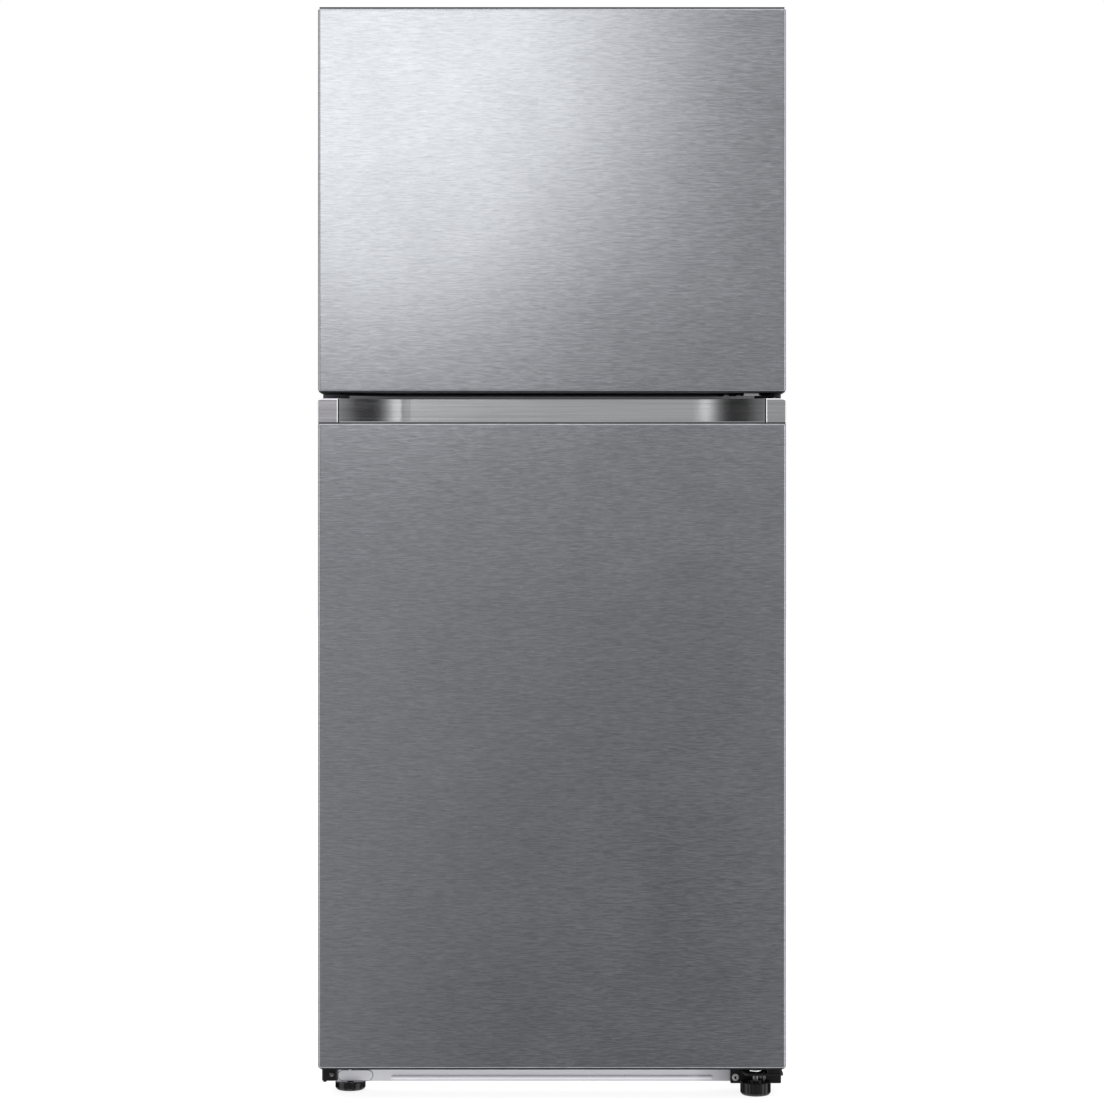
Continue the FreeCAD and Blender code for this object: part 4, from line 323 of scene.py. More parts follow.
liner_white = white_plastic("liner_white", (0.83, 0.835, 0.835), roughness=0.33, ripple=0.00002, size=0.03)
dress(liner_white, "freezer_liner", "fridge_liner", "freezer_door_liner", "fridge_door_liner")


# ------------------------------------------------------------ evaporator, its cover, and the air duct
# A finned aluminium coil behind a moulded cover. A fan draws the air through it and blows it forward
# through the cover's slots, and a white duct carries a share of it down to the fridge.
fitting_white = white_plastic("fitting_white", (0.82, 0.83, 0.83), roughness=0.34, ripple=0.00003, size=0.002)
dress(fitting_white, "evaporator_cover", "air_duct")

bare_aluminium, tree, shader, place = finish("bare_aluminium", 0.35, 1.0)
drawn = speckle(tree, place, 0.004, 4.0)
tree.links.new(two_tones(tree, drawn, (0.60, 0.61, 0.62), (0.78, 0.79, 0.80)), shader.inputs["Base Color"])
tree.links.new(spread(tree, drawn, 0.28, 0.5), shader.inputs["Roughness"])
raise_by(tree, shader, drawn, 0.0001, 0.4)
dress(bare_aluminium, "evaporator")


# ------------------------------------------------------------ fans and their motors
# Moulded five blade fans on small shaded pole motors with steel cans and arms: a white one by the evaporator
# and a black one by the condenser. The drain pan and the rollers' axles share their finishes.
fan_white = white_plastic("fan_white", (0.74, 0.75, 0.74), roughness=0.42, ripple=0.00003, size=0.001)
dress(fan_white, "evaporator_fan")


def dark_moulding(name, colour=(0.022, 0.022, 0.024), roughness=0.5, grain=0.0009, depth=0.00008, dust=0.2,
                  shine=0.5):
    """Black or grey plastic from a spark eroded mould, which gives it a fine even grain."""
    material, tree, shader, place = finish(name, roughness, Specular_IOR_Level=shine)
    pits = speckle(tree, place, grain, 2.0)
    lying = use(tree, dusty, Place=place, Amount=dust).outputs["Mask"]
    tone = two_tones(tree, speckle(tree, place, 0.03, 4.0), [c * 0.8 for c in colour], [c * 1.3 for c in colour])
    tree.links.new(mixed(tree, lying, tone, (0.30, 0.29, 0.27, 1)), shader.inputs["Base Color"])
    marks = use(tree, handled, Place=place, Size=0.03).outputs["Mask"]
    tree.links.new(spread(tree, marks, roughness - 0.08, roughness + 0.12), shader.inputs["Roughness"])
    raise_by(tree, shader, pits, depth, 0.7)
    return material


black_plastic = dark_moulding("black_plastic")
dress(black_plastic, "condenser_fan", "drain_pan")

machined_steel, tree, shader, place = finish("plated_steel", 0.32, 1.0)
turned = speckle(tree, place, 0.0015, 3.0)
marks = use(tree, handled, Place=place, Size=0.02).outputs["Mask"]
tree.links.new(two_tones(tree, turned, (0.56, 0.57, 0.58), (0.70, 0.70, 0.69)), shader.inputs["Base Color"])
tree.links.new(spread(tree, marks, 0.24, 0.42), shader.inputs["Roughness"])
raise_by(tree, shader, turned, 0.00005, 0.4)
dress(machined_steel, "fan_motors", "roller_axles")


# ------------------------------------------------------------ compressor and condenser
# The compressor is a welded steel can and the condenser a bent steel tube, both in black stove enamel. They
# stand in the bay at the back, where dust settles on them.
black_enamel, tree, shader, place = finish("black_enamel", 0.3, Coat_Weight=0.3, Coat_Roughness=0.2)
peel = use(tree, orange_peel, Place=place, Size=0.0022)
lying = use(tree, dusty, Place=place, Amount=0.35).outputs["Mask"]
enamel = two_tones(tree, peel.outputs["Tone"], (0.010, 0.010, 0.011), (0.022, 0.022, 0.023))
tree.links.new(mixed(tree, lying, enamel, (0.28, 0.27, 0.25, 1)), shader.inputs["Base Color"])
tree.links.new(spread(tree, peel.outputs["Tone"], 0.26, 0.42), shader.inputs["Roughness"])
raise_by(tree, shader, peel.outputs["Height"], 0.00012, 0.5)
dress(black_enamel, "compressor", "condenser")


# ------------------------------------------------------------ grommet, rollers and levelling legs
# A rubber grommet where the supply lead leaves, two moulded rollers at the back, and at the front two
# plated studs, each with a moulded foot that is turned by hand.
black_rubber = dark_moulding("black_rubber", (0.016, 0.016, 0.016), roughness=0.62, grain=0.0012, depth=0.0001,
                             dust=0.1)
dress(black_rubber, "cord_grommet")
foot_plastic = dark_moulding("foot_plastic", (0.003, 0.003, 0.0035), roughness=0.2, grain=0.0014, depth=0.00003,
                             dust=0.02, shine=0.34)
dress(foot_plastic, "left_roller", "right_roller", "left_foot", "right_foot")

stud_steel, tree, shader, place = finish("stud_steel", 0.24, 1.0)
ground = speckle(tree, place, 0.0012, 3.0)
tree.links.new(two_tones(tree, ground, (0.10, 0.10, 0.105), (0.20, 0.20, 0.205)), shader.inputs["Base Color"])
tree.links.new(spread(tree, ground, 0.2, 0.34), shader.inputs["Roughness"])
raise_by(tree, shader, ground, 0.00004, 0.4)
dress(stud_steel, "left_stud", "right_stud")


# ------------------------------------------------------------ freezer shelf, ice tray and ice bin
# White and clear mouldings: the tray twists between the end plates of a frame on the left wall, and its
# cubes drop into a clear bin below.
dress(fitting_white, "freezer_shelf", "ice_tray_frame", "ice_tray")


def clear_plastic(name, tint, roughness):
    """Clear polystyrene: slightly tinted, with faint scuffs where things slide on it."""
    material, tree, shader, place = finish(name, roughness, Transmission_Weight=0.82, IOR=1.5)
    scuffs = use(tree, handled, Place=place, Size=0.02).outputs["Mask"]
    tree.links.new(two_tones(tree, scuffs, [c * 0.96 for c in tint], tint), shader.inputs["Base Color"])
    tree.links.new(spread(tree, scuffs, roughness, roughness + 0.12), shader.inputs["Roughness"])
    raise_by(tree, shader, speckle(tree, place, 0.01), 0.00005, 0.4)
    return material


bin_clear = clear_plastic("bin_clear", (0.95, 0.965, 0.97), roughness=0.06)
dress(bin_clear, "ice_bin", "freezer_door_bins", "fridge_door_bins", "dairy_cover", "left_crisper", "right_crisper")


# ------------------------------------------------------------ glass shelves, rims and crisper frame
# Toughened glass with green edges, set in white moulded rims, and a moulded frame that holds the glass
# over the two drawers.
shelf_glass, tree, shader, place = finish("shelf_glass", 0.03, Transmission_Weight=0.9, IOR=1.52)
smears = use(tree, handled, Place=place, Size=0.05).outputs["Mask"]
tree.links.new(two_tones(tree, smears, (0.80, 0.92, 0.88), (0.84, 0.94, 0.91)), shader.inputs["Base Color"])
tree.links.new(spread(tree, smears, 0.02, 0.09), shader.inputs["Roughness"])
dress(shelf_glass, "glass_shelves")
dress(fitting_white, "shelf_rims", "crisper_frame")
grey_plastic = dark_moulding("grey_plastic", (0.14, 0.14, 0.15), roughness=0.45, grain=0.001, depth=0.00006,
                             dust=0.1)
dress(grey_plastic, "left_humidity_slide", "right_humidity_slide")


# ------------------------------------------------------------ control housing, dial and lamp lens
# A white moulded housing under the ceiling of the fridge with a dial and, beside it, the ribbed clear lens of
# the lamp. The numbers are printed on the housing and the pointer on the dial.
dress(fitting_white, "control_housing", "temperature_dial")
lens_clear = clear_plastic("lens_clear", (0.95, 0.96, 0.96), roughness=0.3)
dress(lens_clear, "light_lens")

ink, tree, shader, place = finish("ink_grey", 0.45)
tone = two_tones(tree, speckle(tree, place, 0.0006, 3.0), (0.10, 0.11, 0.12), (0.16, 0.17, 0.18))
tree.links.new(tone, shader.inputs["Base Color"])
raise_by(tree, shader, speckle(tree, place, 0.0004), 0.00002, 0.4)

# Each number is drawn with strokes on a grid 2 wide and 4 high.
strokes = {"1": [((1, 0), (1, 4)), ((1, 4), (0.2, 3.2))],
           "2": [((0, 4), (2, 4)), ((2, 4), (2, 2)), ((2, 2), (0, 2)), ((0, 2), (0, 0)), ((0, 0), (2, 0))],
           "3": [((0, 4), (2, 4)), ((2, 4), (2, 0)), ((2, 0), (0, 0)), ((0.5, 2), (2, 2))],
           "4": [((0, 4), (0, 2)), ((0, 2), (2, 2)), ((2, 4), (2, 0))],
           "5": [((2, 4), (0, 4)), ((0, 4), (0, 2)), ((0, 2), (2, 2)), ((2, 2), (2, 0)), ((2, 0), (0, 0))]}

ink_height = 0.00012


def printed(name, lines, y, width, body):
    """Thin raised strokes that face forwards; each line is a pair of (x, z) ends."""
    shape = bmesh.new()
    for (x0, z0), (x1, z1) in lines:
        along = Vector((x1 - x0, z1 - z0)).normalized() * width / 2
        across = Vector((-along[1], along[0]))
        corners = [(x0 - along[0] + across[0], z0 - along[1] + across[1]),
                   (x0 - along[0] - across[0], z0 - along[1] - across[1]),
                   (x1 + along[0] - across[0], z1 + along[1] - across[1]),
                   (x1 + along[0] + across[0], z1 + along[1] + across[1])]
        rows = [[shape.verts.new((x, depth, z)) for x, z in corners] for depth in (y, y - ink_height)]
        wrap(shape, rows[0], rows[1])
        shape.faces.new(rows[0][::-1])
        shape.faces.new(rows[1])
    return piece_from(name, shape, ink, body)


# Five numbers stand on the housing beside the knob, and a line on its grip points to one of them.
low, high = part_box("temperature_dial")
knob = ((low[0] + high[0]) / 2, (low[2] + high[2]) / 2)
housing_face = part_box("control_housing")[0][1]
unit, number_stroke, pointer_stroke = 0.00078, 0.00045, 0.0009
numbers_from_knob = 0.0155
pointer_start, pointer_end = 0.003, 0.0095
lines = []
for digit, angle in zip("12345", (-50, -25, 0, 25, 50)):
    turn = math.radians(angle)
    at = (knob[0] + numbers_from_knob * math.cos(turn), knob[1] - numbers_from_knob * math.sin(turn))
    for ends in strokes[digit]:
        lines.append([(at[0] + (u - 1) * unit, at[1] + (v - 2) * unit) for u, v in ends])
numbers = printed("dial_numbers", lines, housing_face, number_stroke, "cabinet")
mark = [((knob[0], knob[1] + pointer_start), (knob[0], knob[1] + pointer_end))]
pointer = printed("dial_pointer", mark, low[1], pointer_stroke, "temperature_dial")


# ------------------------------------------------------------ hinges, their cover and screws
# Pressed steel brackets with riveted pins. The top one is zinc plated and hides under a moulded cover. The
# others are enamelled black, with the middle one's stop and the pins left as bright steel.
dress(machined_steel, "top_hinge")


def solid_from(name, rings, material, body):
    """A piece skinned over rings of points, each with the same count, and capped at both ends."""
    shape = bmesh.new()
    rows = [[shape.verts.new(point) for point in ring] for ring in rings]
    for low, high in zip(rows, rows[1:]):
        wrap(shape, low, high)
    shape.faces.new(rows[0][::-1])
    shape.faces.new(rows[-1])
    return piece_from(name, shape, material, body)


def along_x(profile, x0, x1):
    """Two rings of a bar along the width, its profile given as (y, z)."""
    return [[(x, y, z) for y, z in profile] for x in (x0, x1)]


def enamelled_hinge(name, *bare):
    """Black enamel on steel, with the boxes named left bare."""
    material, tree, shader, place = finish(name, 0.3, Specular_IOR_Level=0.2)
    peel = use(tree, orange_peel, Place=place, Size=0.0016)
    enamel = two_tones(tree, peel.outputs["Tone"], (0.006, 0.006, 0.007), (0.014, 0.014, 0.016))
    steel = two_tones(tree, peel.outputs["Height"], (0.82, 0.82, 0.84), (0.92, 0.92, 0.94))
    mask = None
    for low, high in bare:
        here = within(tree, place, low, high)
        mask = here if mask is None else math_on(tree, "MAXIMUM", mask, here)
    tree.links.new(mixed(tree, mask, enamel, steel), shader.inputs["Base Color"])
    tree.links.new(mask, shader.inputs["Metallic"])
    gloss = spread(tree, peel.outputs["Tone"], 0.26, 0.4)
    gloss = math_on(tree, "MULTIPLY_ADD", mask, -0.14, gloss)
    tree.links.new(gloss, shader.inputs["Roughness"])
    raise_by(tree, shader, peel.outputs["Height"], 0.00008, 0.4)
    return material


pin_x, pin_y, pin_reach = 0.348, -0.324, 0.0052
pin_west, pin_east = pin_x - pin_reach, pin_x + pin_reach
pin_front, pin_back = pin_y - pin_reach, pin_y + pin_reach
middle_pin = ((pin_west, pin_front, 1.08), (pin_east, pin_back, 1.13))
stop_lip = ((0.306, -0.322, 1.0984), (0.330, -0.312, 1.104))
dress(enamelled_hinge("middle_hinge_enamel", middle_pin, stop_lip), "middle_hinge")
lower_pin = ((pin_west, pin_front, 0.02), (pin_east, pin_back, 0.06))
dress(enamelled_hinge("lower_hinge_enamel", lower_pin), "lower_hinge")

# A bright pad lies before the middle bracket's stop, in the gap between the doors.
pad_x = (0.3005, 0.3235)
pad_y = (-0.352, -0.3178)
pad_z = (1.0986, 1.1024)
pad_side = [(pad_y[0], pad_z[0]), (pad_y[0], pad_z[1]), (pad_y[1], pad_z[1]), (pad_y[1], pad_z[0])]
stop_pad = solid_from("middle_stop_pad", along_x(pad_side, *pad_x), machined_steel, "cabinet")

# The screws' recesses and the sides of the nut lie in shade.
screw_steel, tree, shader, place = finish("screw_steel", 0.26, 1.0)
turned = speckle(tree, place, 0.0009, 3.0)
bright = two_tones(tree, turned, (0.72, 0.72, 0.73), (0.86, 0.86, 0.87))
screw_centres = ((0.2912, 0.0199), (0.3338, 0.0189))
recess_reach = 0.0014
nut_low, nut_high = (0.310, -0.336, 0.034), (0.331, -0.312, 0.0372)
shaded = within(tree, place, nut_low, nut_high)
for x, z in screw_centres:
    recess_low = (x - recess_reach, -0.5, z - recess_reach)
    recess_high = (x + recess_reach, 0.0, z + recess_reach)
    shaded = math_on(tree, "MAXIMUM", shaded, within(tree, place, recess_low, recess_high))
tree.links.new(mixed(tree, shaded, bright, (0.01, 0.01, 0.01, 1)), shader.inputs["Base Color"])
tree.links.new(spread(tree, turned, 0.2, 0.34), shader.inputs["Roughness"])
raise_by(tree, shader, turned, 0.00003, 0.4)
dress(screw_steel, "hinge_fasteners")
hinge_cover_grey = dark_moulding("hinge_cover_grey", (0.30, 0.30, 0.31), roughness=0.42, grain=0.001,
                                 depth=0.00006, dust=0.3)
dress(hinge_cover_grey, "top_hinge_cover")


# ------------------------------------------------------------ door skins
# Stainless steel sheet with a clear coat against fingerprints. The sheet is brushed along the door with
# short strokes, so the grain is made of broken horizontal dashes, and its edges are rolled over.
inputs = {"Place": (0, 0, 0), "Length": 0.012, "Width": 0.0015, "Lines": 1.0}
brushed, entry, leave = effect("brushed grain", inputs, ["Tone", "Height"])
length, width = entry.outputs["Length"], entry.outputs["Width"]
size = join(brushed, "CombineXYZ", {0: length, 1: length, 2: width})
dashes = join(brushed, "VectorMath", {0: entry.outputs["Place"], 1: size.outputs[0]}, operation="DIVIDE").outputs[0]
coarse = join(brushed, "TexNoise", {"Vector": dashes, "Scale": 1.0, "Detail": 2.0, "Roughness": 0.6}).outputs["Fac"]
fine = join(brushed, "TexNoise", {"Vector": dashes, "Scale": 4.3, "Detail": 2.0, "Roughness": 0.6}).outputs["Fac"]
stretch = join(brushed, "VectorMath", {0: dashes, 1: (0.08, 0.08, 0.9)}, operation="MULTIPLY").outputs[0]
long_lines = join(brushed, "TexNoise", {"Vector": stretch, "Scale": 1.0, "Detail": 1.0}).outputs["Fac"]
total = math_on(brushed, "MULTIPLY_ADD", long_lines, entry.outputs["Lines"], coarse)
total = math_on(brushed, "MULTIPLY_ADD", fine, 0.5, total)
middle = math_on(brushed, "MULTIPLY_ADD", entry.outputs["Lines"], 0.5, 0.75)
total = math_on(brushed, "SUBTRACT", total, middle)
tone = join(brushed, "MapRange", {"Value": total, "From Min": -0.34, "From Max": 0.34}).outputs["Result"]
brushed.links.new(tone, leave.inputs["Tone"])
brushed.links.new(math_on(brushed, "ADD", fine, coarse), leave.inputs["Height"])


def brushed_steel(name, dark, light, roughness, length, width, lines):
    """Brushed metal between two tones; its strokes have a length and a width, and lines cross the whole sheet."""
    material, tree, shader, place = finish(name, roughness, 1.0)
    grain = use(tree, brushed, Place=place, Length=length, Width=width, Lines=lines)
    tree.links.new(two_tones(tree, grain.outputs["Tone"], dark, light), shader.inputs["Base Color"])
    marks = use(tree, handled, Place=place, Size=0.2).outputs["Mask"]
    gloss = spread(tree, marks, roughness - 0.015, roughness + 0.02)
    gloss = math_on(tree, "MULTIPLY_ADD", grain.outputs["Tone"], 0.05, gloss)
    tree.links.new(gloss, shader.inputs["Roughness"])
    raise_by(tree, shader, grain.outputs["Height"], 0.00002, 0.25)
    return material


door_steel = brushed_steel("door_steel", (0.268, 0.276, 0.300), (0.490, 0.503, 0.539), roughness=0.2,
                           length=0.0145, width=0.001, lines=0.1)
dress(door_steel, "freezer_door_skin", "fridge_door_skin")

# Each skin's top edge is rolled over and catches the light.
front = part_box("handle_trim")[0][1]
half_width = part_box("handle_trim")[1][0]
skin_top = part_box("fridge_door_skin")[1][2]
skin_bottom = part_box("fridge_door_skin")[0][2]
freezer_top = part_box("freezer_door_skin")[1][2]
roll_inset, roll_back = 0.0016, 0.0005
turns = [math.radians(a) for a in range(90, 271, 12)]
for name, body, top, radius in (("fridge_skin_roll", "fridge_door", skin_top, 0.0011),
                                ("freezer_skin_roll", "freezer_door", freezer_top, 0.0012)):
    roll = [(front + roll_back + radius * math.cos(a), top - radius + radius * math.sin(a)) for a in turns]
    rings = along_x(roll, -half_width + roll_inset, half_width - roll_inset)
    skin_roll = solid_from(name, rings, door_steel, body)


# ------------------------------------------------------------ handle trim
# One pressed aluminium channel along the top of the fridge door, brushed in long lines and anodised. It is
# flush at each end and sweeps back between them to make room for the fingers.
trim_metal = brushed_steel("trim_metal", (0.69, 0.695, 0.72), (0.90, 0.905, 0.93), roughness=0.08,
                           length=0.3, width=0.0036, lines=0.6)
dress(trim_metal, "handle_trim")
# The trim's left end is painted darker than the rest: painted shade.
tree, place = place_on(trim_metal)
groove_at = 0.334
trim_left_shade = within(tree, place, (-0.37, -0.38, 1.0), (-groove_at, -0.3, 1.1))
painted_shade_on(trim_metal, trim_left_shade, (0.78, 0.76, 0.78))

# A black strip in the joint between the trim and the skin below it stands in for the joint's shadow: painted shade.
gap_shade_black = dark_moulding("gap_shade_black", (0.008, 0.008, 0.009), roughness=0.6, grain=0.001, depth=0.00003,
                           dust=0.0, shine=0.15)
lip_front, lip_back, trim_gap_back = front - 0.0003, front - 0.00005, front + 0.005
trim_gap_bottom, trim_gap_top, lip_top = skin_top - 0.0001, skin_top + 0.0014, skin_top + 0.0021
strip = [(lip_front, trim_gap_bottom), (lip_front, lip_top), (lip_back, lip_top),
         (lip_back, trim_gap_top), (trim_gap_back, trim_gap_top), (trim_gap_back, trim_gap_bottom)]
trim_gap_inset = 0.001
rings = along_x(strip, -half_width + trim_gap_inset, half_width - trim_gap_inset)
trim_gap_shade = solid_from("trim_gap_shade", rings, gap_shade_black, "fridge_door")

# A dark block at the bottom of the groove at each end of the recess stands in for its shadow: painted shade.
end_groove_front, end_groove_back = front + 0.0016, front + 0.0028
end_groove_outer, end_groove_inner = groove_at - 0.0001, groove_at - 0.0021
end_groove_bottom = skin_top + 0.0017
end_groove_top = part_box("handle_trim")[1][2] - 0.0009
for side, name in ((-1, "left"), (1, "right")):
    x0, x1 = sorted((side * end_groove_outer, side * end_groove_inner))
    rings = []
    for z in (end_groove_bottom, end_groove_top):
        rings.append([(x0, end_groove_front, z), (x1, end_groove_front, z), (x1, end_groove_back, z), (x0, end_groove_back, z)])
    end_groove_piece = solid_from(name + "_groove_shade", rings, gap_shade_black, "fridge_door")


# ------------------------------------------------------------ end caps and closer blocks
# Black and grey mouldings that close the doors' tops and bottoms before the foam is blown in. They carry the
# hinge bushings, and a closer block is screwed on under each end of the lower door.
cap_black = dark_moulding("cap_black", (0.016, 0.016, 0.019), roughness=0.45, shine=0.15)
dress(cap_black, "freezer_door_caps")
block_black = dark_moulding("block_black", (0.006, 0.006, 0.007), roughness=0.3, grain=0.0012, depth=0.00005,
                            dust=0.0, shine=0.25)
dress(block_black, "closer_blocks")
cap_grey = dark_moulding("cap_grey", (0.11, 0.11, 0.12), roughness=0.42)
dress(cap_grey, "fridge_door_caps")
# The lower door's bottom cap is darkened to near black: painted shade for the gap under the door.
tree, place = place_on(cap_grey)
lower_cap_shade = within(tree, place, (-1, -1, 0), (1, 1, 0.08))
painted_shade_on(cap_grey, lower_cap_shade, (0.036, 0.036, 0.042))

# A black strip in the joint between skin and cap, on top of the freezer door and under the other, is painted shade.
strip_height, strip_back = 0.0026, front + 0.004
bottom_front, bottom_inset = front + 0.0008, 0.006
strip = [(bottom_front, skin_bottom - strip_height), (bottom_front, skin_bottom),
         (strip_back, skin_bottom), (strip_back, skin_bottom - strip_height)]
rings = along_x(strip, -half_width + bottom_inset, half_width - bottom_inset)
bottom_gap_shade = solid_from("bottom_gap_shade", rings, gap_shade_black, "fridge_door")

top_front, top_inset = front + 0.0007, 0.0025
strip = [(top_front, freezer_top), (top_front, freezer_top + strip_height),
         (strip_back, freezer_top + strip_height), (strip_back, freezer_top)]
rings = along_x(strip, -half_width + top_inset, half_width - top_inset)
top_gap_shade = solid_from("top_gap_shade", rings, gap_shade_black, "freezer_door")


def lathed_y(name, centre, profile, material, body):
    """A piece turned about a line that runs front to back; the profile is (radius, y) pairs."""
    steps = 24
    x, y, z = centre
    rings = []
    turns = [2 * math.pi * i / steps for i in range(steps)]
    for radius, along in profile:
        rings.append([(x + radius * math.cos(a), y + along, z + radius * math.sin(a)) for a in turns])
    return solid_from(name, rings, material, body)


# A round headed screw shows on the front of the left closer block.
block_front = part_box("closer_blocks")[0][1]
screw_x, screw_z = -0.3462, 0.0338
head = [(0.0028, 0.0005), (0.0034, 0.0), (0.0034, -0.0006), (0.0027, -0.0014),
        (0.0014, -0.0018), (0.0013, -0.0006), (0.0004, -0.0003)]
block_screw = lathed_y("left_block_screw", (screw_x, block_front, screw_z), head, stud_steel, "fridge_door")


# ------------------------------------------------------------ gaskets
# Soft grey vinyl bellows with a magnet strip inside, welded at the corners and pushed into a groove round
# each door liner.
seal, tree, shader, place = finish("seal_rubber", 0.5)
tone = two_tones(tree, speckle(tree, place, 0.02), (0.36, 0.36, 0.38), (0.42, 0.42, 0.43))
tree.links.new(tone, shader.inputs["Base Color"])
raise_by(tree, shader, speckle(tree, place, 0.0012), 0.0001, 0.5)
dress(seal, "freezer_door_gasket", "fridge_door_gasket")

# Two ribs stand on each seal's face over the magnet, and two folds run round its outer side.
rib_insets, rib_corner = (0.0032, 0.0106), 0.004
rib_section = ((-0.0006, 0.0), (-0.0004, 0.0002), (0.0004, 0.0002), (0.0006, 0.0))
fold_inset, fold_radius, fold_corner, fold_sides = 0.0036, 0.0009, 0.005, 8
fold_depths = (0.0045, 0.0065)
corner_steps = 4
for door in ("freezer_door", "fridge_door"):
    low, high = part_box(door + "_gasket")
    middle = ((low[0] + high[0]) / 2, (low[2] + high[2]) / 2)
    outer = ((high[0] - low[0]) / 2, (high[2] - low[2]) / 2)
    face = high[1]
    for number, inset in enumerate(rib_insets):
        loops = []
        for grow, rise in rib_section:
            size = (outer[0] - inset + grow, outer[1] - inset + grow)
            loops.append(rounded_loop(middle, size, rib_corner, face + rise, corner_steps))
        rib = loop_band(door + "_seal_rib_" + str(number), loops, seal, door)
    for number, depth in enumerate(fold_depths):
        loops = []
        for i in range(fold_sides):
            turn = 2 * math.pi * i / fold_sides
            grow = fold_radius * math.cos(turn) - fold_inset
            size = (outer[0] + grow, outer[1] + grow)
            y = face - depth + fold_radius * math.sin(turn)
            loops.append(rounded_loop(middle, size, fold_corner, y, corner_steps))
        fold = loop_band(door + "_seal_fold_" + str(number), loops, seal, door)


# ------------------------------------------------------------ studio
# A white floor and surround, a wide round lamp high on the left in front of the doors, and, seen only by
# polished metal, a grey wall in front with a white strip and a black flag on each side of it.
reach = 30
floor_mesh = bpy.data.meshes.new("floor")
corners = [(-reach, -reach, 0), (reach, -reach, 0), (reach, reach, 0), (-reach, reach, 0)]
floor_mesh.from_pydata(corners, [], [(0, 1, 2, 3)])
floor = bpy.data.objects.new("floor", floor_mesh)
bpy.context.scene.collection.objects.link(floor)
floor.visible_glossy = False
floor_material = bpy.data.materials.new("floor")
floor_material.use_nodes = True
floor_mesh.materials.append(floor_material)
tree = floor_material.node_tree
paper = tree.nodes["Principled BSDF"]
paper.inputs["Base Color"].default_value = (0.3, 0.3, 0.3, 1)
paper.inputs["Roughness"].default_value = 0.9
paper.inputs["Specular IOR Level"].default_value = 0.0


def seen_directly(tree, light_path):
    """1 for what the eye sees straight or through clear plastic, and 0 for what only lights or mirrors."""
    straight, through = light_path.outputs["Is Camera Ray"], light_path.outputs["Is Transmission Ray"]
    return math_on(tree, "ADD", straight, through, use_clamp=True)


seen = seen_directly(tree, join(tree, "LightPath"))
glow = join(tree, "Emission", {"Color": (1, 1, 1, 1), "Strength": spread(tree, seen, 0.8, 0.85)})
lit = join(tree, "AddShader", {0: paper.outputs[0], 1: glow.outputs[0]})
tree.links.new(lit.outputs[0], tree.nodes["Material Output"].inputs["Surface"])

world = bpy.data.worlds.new("studio")
bpy.context.scene.world = world
world.use_nodes = True
tree = world.node_tree
light_path = join(tree, "LightPath")
ray = join(tree, "SeparateXYZ", {0: join(tree, "TexCoord").outputs["Generated"]})
ahead = math_on(tree, "MULTIPLY", ray.outputs["Y"], -1.0)
ahead_only = math_on(tree, "MAXIMUM", ahead, 0.05)
aside = math_on(tree, "ABSOLUTE", ray.outputs["X"])
turn = math_on(tree, "ARCTAN2", aside, ahead)
turn = math_on(tree, "DIVIDE", turn, math.pi)
height = ray.outputs["Z"]


def blend(tree, share, first, second):
    """Runs from the first level to the second as the share runs from 0 to 1."""
    return join(tree, "Mix", {0: share, 2: first, 3: second}, data_type="FLOAT").outputs[0]


def ramp(tree, turn, stops):
    """Levels of light by how far a ray turns from straight ahead, in degrees."""
    brightest = 5.0
    bands = join(tree, "ValToRGB", {0: turn})
    while len(bands.color_ramp.elements) < len(stops):
        bands.color_ramp.elements.new(0.5)
    for element, (angle, level) in zip(bands.color_ramp.elements, stops):
        element.position = angle / 180
        element.color = (level / brightest, level / brightest, level / brightest, 1)
    return math_on(tree, "MULTIPLY", bands.outputs["Color"], brightest)


# Level rays meet the wall, the flags and the strips. Rays that fall away meet the same wall without them.
strips = [(0, 1.0), (1.5, 1.05), (3.5, 1.28), (8, 1.5), (12, 1.5), (18, 1.24), (23.5, 0.79), (28, 0.45),
          (33, 0.25), (37, 0.1), (39, 0.03), (43, 0.03), (48, 4.4), (80, 4.4), (84, 0.03), (86, 4.6),
          (95, 4.6), (98, 0.03), (180, 0.03)]
plain = [(0, 1.0), (1.5, 1.05), (3.5, 1.28), (8, 1.4), (20, 1.1), (40, 1.0), (60, 2.2), (95, 3.0), (115, 1.7),
         (180, 1.3)]
half_turn = 180
near = spread(tree, height, 0.0, 1.0, -0.09, -0.05)
wide = spread(tree, height, 0.0, 1.0, -0.24, -0.225)
past = spread(tree, turn, 0.0, 1.0, 43 / half_turn, 46 / half_turn)
chosen = blend(tree, past, near, wide)
band = blend(tree, chosen, ramp(tree, turn, plain), ramp(tree, turn, strips))

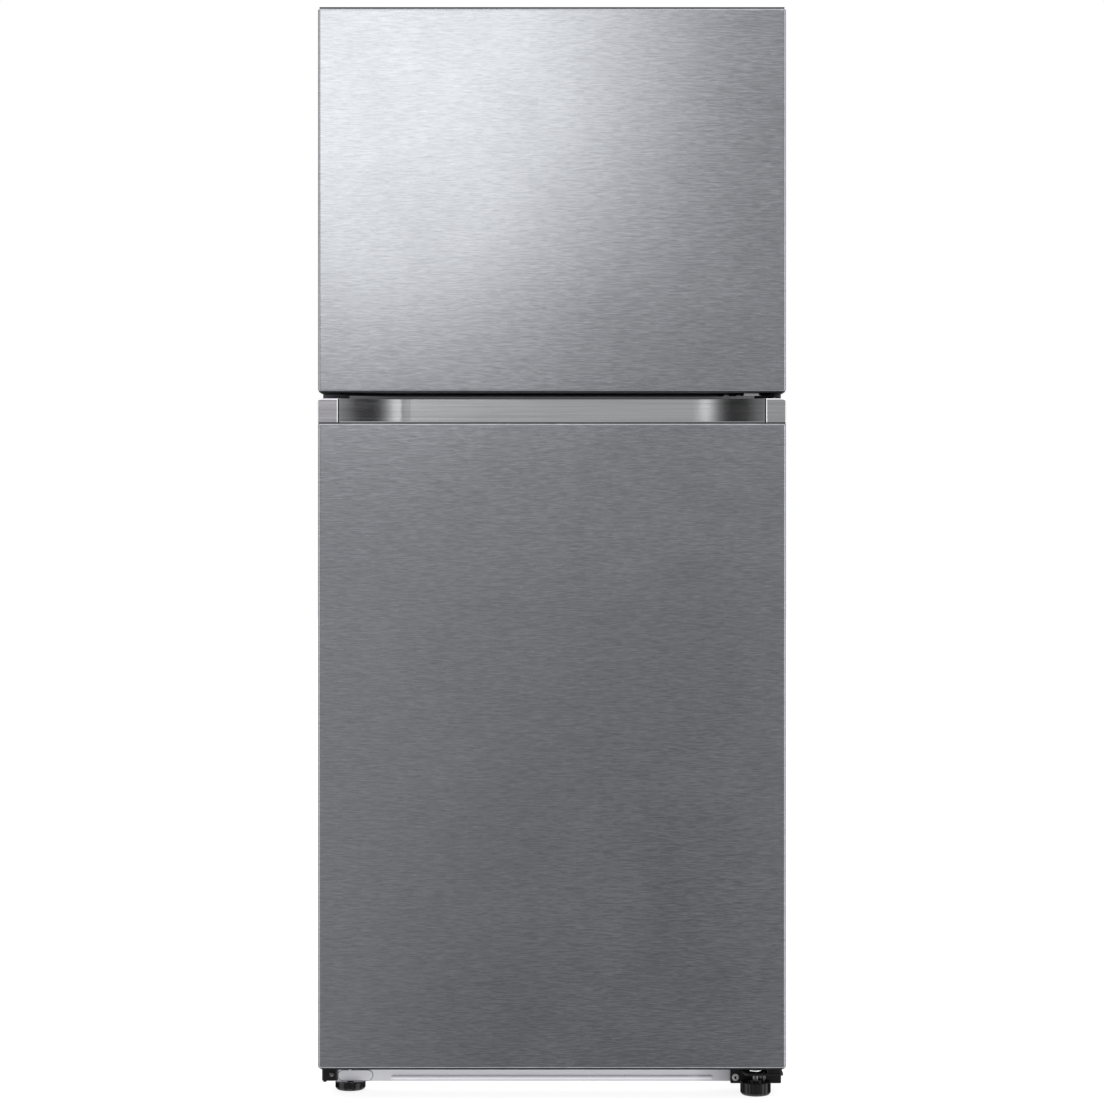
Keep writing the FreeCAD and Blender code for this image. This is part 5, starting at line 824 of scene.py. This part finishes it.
# The wall is brightest high on the left and falls off to the right and downwards.
rise = math_on(tree, "DIVIDE", height, ahead_only)
across = math_on(tree, "DIVIDE", ray.outputs["X"], ahead_only)
dim_middle, dim_to_right, dim_upwards = 0.631, 4.89, -4.15
wall_bright, wall_dark = 0.375, 0.135
dimming = math_on(tree, "MULTIPLY_ADD", across, dim_to_right, dim_middle)
dimming = math_on(tree, "MULTIPLY_ADD", rise, dim_upwards, dimming)
limits = {"Value": dimming, "From Min": 0.5, "From Max": 1.6, "To Min": wall_bright, "To Max": wall_dark}
wall = join(tree, "MapRange", limits, interpolation_type="SMOOTHSTEP").outputs["Result"]
wall = math_on(tree, "MULTIPLY", wall, spread(tree, across, 1.0, 0.7, 0.02, 0.085))
aside_level = spread(tree, across, wall_bright, 0.47, 0.1, 0.14)
to_side = spread(tree, turn, 0.0, 1.0, 6.2 / half_turn, 9.2 / half_turn)
wall = blend(tree, to_side, wall, aside_level)
polished = math_on(tree, "MULTIPLY", wall, band)

# Steep rays meet the bright ceiling, or the dimmer floor.
slant = math_on(tree, "ABSOLUTE", height)
steep = spread(tree, slant, 0.0, 1.0, 0.34, 0.5)
overhead = spread(tree, slant, 1.45, 2.8, 0.55, 0.8)
overhead = math_on(tree, "MULTIPLY", overhead, spread(tree, height, 0.55, 1.0, -0.3, 0.3))
polished = blend(tree, steep, polished, overhead)
level = blend(tree, light_path.outputs["Is Glossy Ray"], 0.92, polished)
level = blend(tree, seen_directly(tree, light_path), level, 1.0)
background = tree.nodes["Background"]
background.inputs["Color"].default_value = (1, 1, 1, 1)
tree.links.new(level, background.inputs["Strength"])

# The eye stands straight before the doors at half their height, and the lamp at the same distance.
eye_y, eye_height = -4.61, 0.854
camera_data = bpy.data.cameras.new("camera")
camera_data.lens = 88.7
camera_data.sensor_width = 36.0
camera = bpy.data.objects.new("camera", camera_data)
camera.location = (0.0, eye_y, eye_height)
camera.rotation_euler = (math.radians(90), 0, 0)
bpy.context.scene.collection.objects.link(camera)
bpy.context.scene.camera = camera

key_data = bpy.data.lights.new("key", "AREA")
key_data.shape = "DISK"
key_data.size = 1.93
key_data.energy = 18.0
key_data.color = (1.0, 1.0, 0.965)
key = bpy.data.objects.new("key", key_data)
key.location = (-0.66, eye_y, 2.51)
lamp_aim = Vector((-0.33, -0.37, 1.68))
key.rotation_euler = (lamp_aim - key.location).to_track_quat("-Z", "Y").to_euler()
key.visible_camera = False
bpy.context.scene.collection.objects.link(key)

bpy.context.scene.view_settings.view_transform = "Standard"
